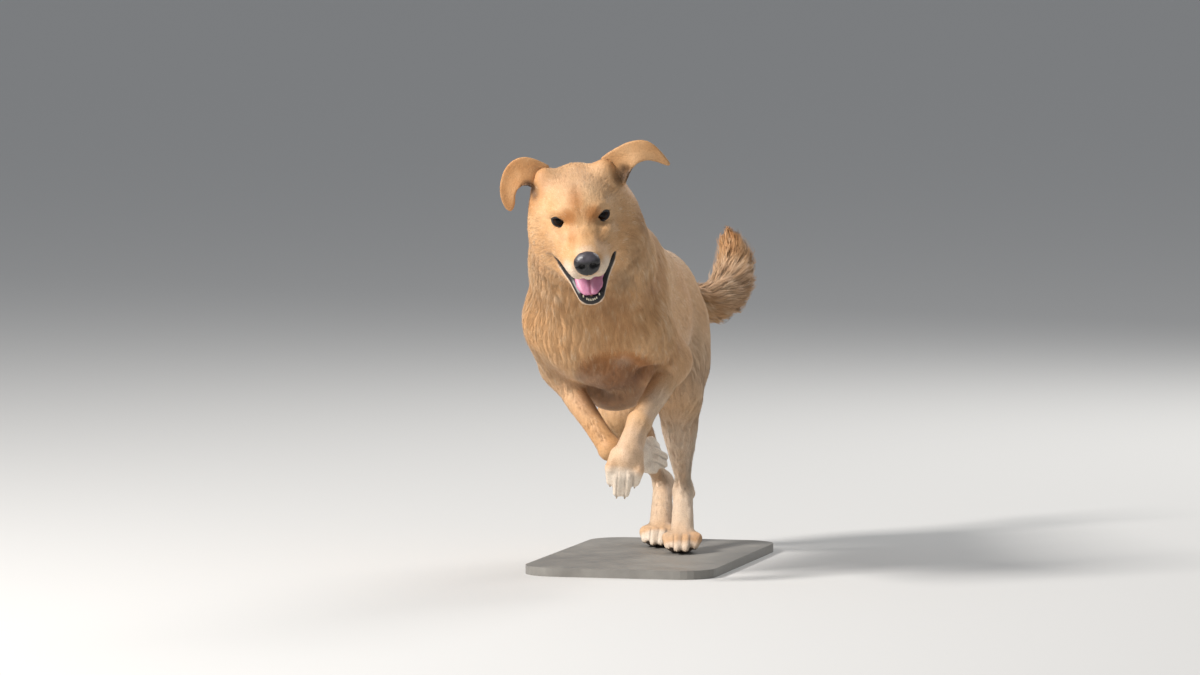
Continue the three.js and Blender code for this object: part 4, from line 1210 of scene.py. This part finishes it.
unwrap(skin)
lie_over, coat_over_skin = coat_over(skin)
surface = BVHTree.FromObject(skin, bpy.context.evaluated_depsgraph_get())
pieces = []
for longer, count, rings, seed in (
    (False, SHORT_TUFTS, (0.0,), 7), (True, LONG_TUFTS, (0.0, 0.5), 8),
):
    rng = np.random.default_rng(seed)
    root, normal, lie, coat, patch, tint_and_painted_light = tuft_roots(
        skin, lie_over, coat_over_skin, count, longer, rng
    )
    length, stand, width = coat[:, 0] / 1000, coat[:, 1], coat[:, 2] / 1000
    lock, across = locks_of(root, normal, lie, length, rng)
    spread = np.bincount(lock, np.abs(across)) / np.maximum(np.bincount(lock), 1)
    off = np.clip(across / (2 * spread[lock] + 0.0005), -1.2, 1.2)
    own = rng.normal(size=(len(spread), 3))[lock]
    side = np.cross(lie, normal)
    lit = normal - side * (off * (0.32 if longer else 0.42))[:, None]
    shift = side * (across * (0.55 if longer else 0.35))[:, None]
    swirl = 0.2 * waves(root, 0.08, 1) + 0.1 * waves(root, 0.024, 2) + 0.08 * own[:, 0]
    swirl += rng.normal(0, 0.08, count)
    lie, side = (
        lie * np.cos(swirl)[:, None] + side * np.sin(swirl)[:, None],
        side * np.cos(swirl)[:, None] - lie * np.sin(swirl)[:, None],
    )
    length = length * rng.uniform(0.7, 1.15, count) * (1 + 0.12 * waves(root, 0.03, 3))
    length *= 0.3 + 0.7 * np.minimum(
        growth(root + lie * length[:, None] * 0.45), growth(root + lie * length[:, None])
    )
    aim = root + lie * length[:, None]
    sag = np.array([surface.find_nearest(place)[0] for place in aim]) - aim
    far = np.linalg.norm(sag, axis=1)
    shift += sag * np.minimum(1, 0.5 * length / np.maximum(far, 1e-6))[:, None]
    width = width * rng.uniform(0.6, 1.15, count)
    lift = length * stand * rng.uniform(0.6, 1.3, count) * (1.2 - 0.35 * off ** 2)
    lift *= np.clip(1 + 0.18 * own[:, 1], 0.6, 1.4)
    roll = rng.normal(0, 0.25, count)[:, None]
    across = side * np.cos(roll) + normal * np.sin(roll)
    tone = 0.5 + 0.1 * waves(root, 0.009, 5) + 0.12 * waves(root, 0.035, 6)
    tone = np.clip(tone + 0.15 * own[:, 2] + rng.normal(0, 0.14, count), 0, 1)
    order = np.argsort(root[:, 1])
    per_tuft = 4 + 6 * (len(rings) - 1)
    for chunk in np.array_split(order, math.ceil(count * per_tuft / PIECE_SIZE)):
        pieces.append(build_tufts(
            "coat_%d" % len(pieces), rings, root[chunk], normal[chunk], lie[chunk],
            across[chunk], shift[chunk], lit[chunk],
            np.stack([length, width, lift], 1)[chunk],
            patch[chunk], tone[chunk], {kind: values[chunk] for kind, values in tint_and_painted_light.items()},
        ))
for piece in pieces:
    piece.data.materials.append(fur)
    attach(piece, "root")

# ------------------------------------------------------------------------------------ stand
# The plain board the dog stands on: a satin grey slab with a faint grain.
slab, shader, wire = new_material("slab", Roughness=0.5)
here = wire.node("ShaderNodeTexCoord", out=3)
grain = noise(here, 30.0, 6.0)
feed(
    shader,
    Base_Color=shades(grain, (0.3, "#7e7b76"), (0.7, "#8f8c86")),
    Roughness=grain.ramp(0.3, 0.7, 0.42, 0.6),
)
base = frame["nodes"]["stand_base"]
base.data.materials.clear()
base.data.materials.append(slab)

# ----------------------------------------------------------------------------------- studio
# A pale floor without an edge in sight, a broad key light high on one side, and weak fill.
bpy.ops.mesh.primitive_plane_add(size=600, location=(0, 0, 0))
floor = bpy.context.object
floor.name = "floor"
paper, shader, wire = new_material("paper", Roughness=0.9)
shader.inputs["Base Color"].default_value = (0.66, 0.66, 0.65, 1)
floor.data.materials.append(paper)

LIGHTS = [
    # place, size, strength, colour
    ((-3.7, -3.7, 4.1), 1.4, 540, (1.0, 0.96, 0.92)),
    ((3.6, -4.2, 2.2), 3.0, 11, (0.94, 0.97, 1.0)),
    ((1.5, 3.8, 3.2), 2.0, 100, (1.0, 0.98, 0.95)),
]
for place, size, strength, tint in LIGHTS:
    aim = (Vector((0, -0.1, 0.4)) - Vector(place)).to_track_quat("-Z", "Y").to_euler()
    bpy.ops.object.light_add(type="AREA", location=place, rotation=aim)
    lamp = bpy.context.object.data
    lamp.size = size
    lamp.energy = strength
    lamp.color = tint
world = bpy.data.worlds.new("studio")
world.use_nodes = True
world.node_tree.nodes["Background"].inputs["Color"].default_value = (0.92, 0.95, 1.0, 1)
world.node_tree.nodes["Background"].inputs["Strength"].default_value = 0.31
bpy.context.scene.world = world
bpy.context.scene.view_settings.view_transform = "Standard"
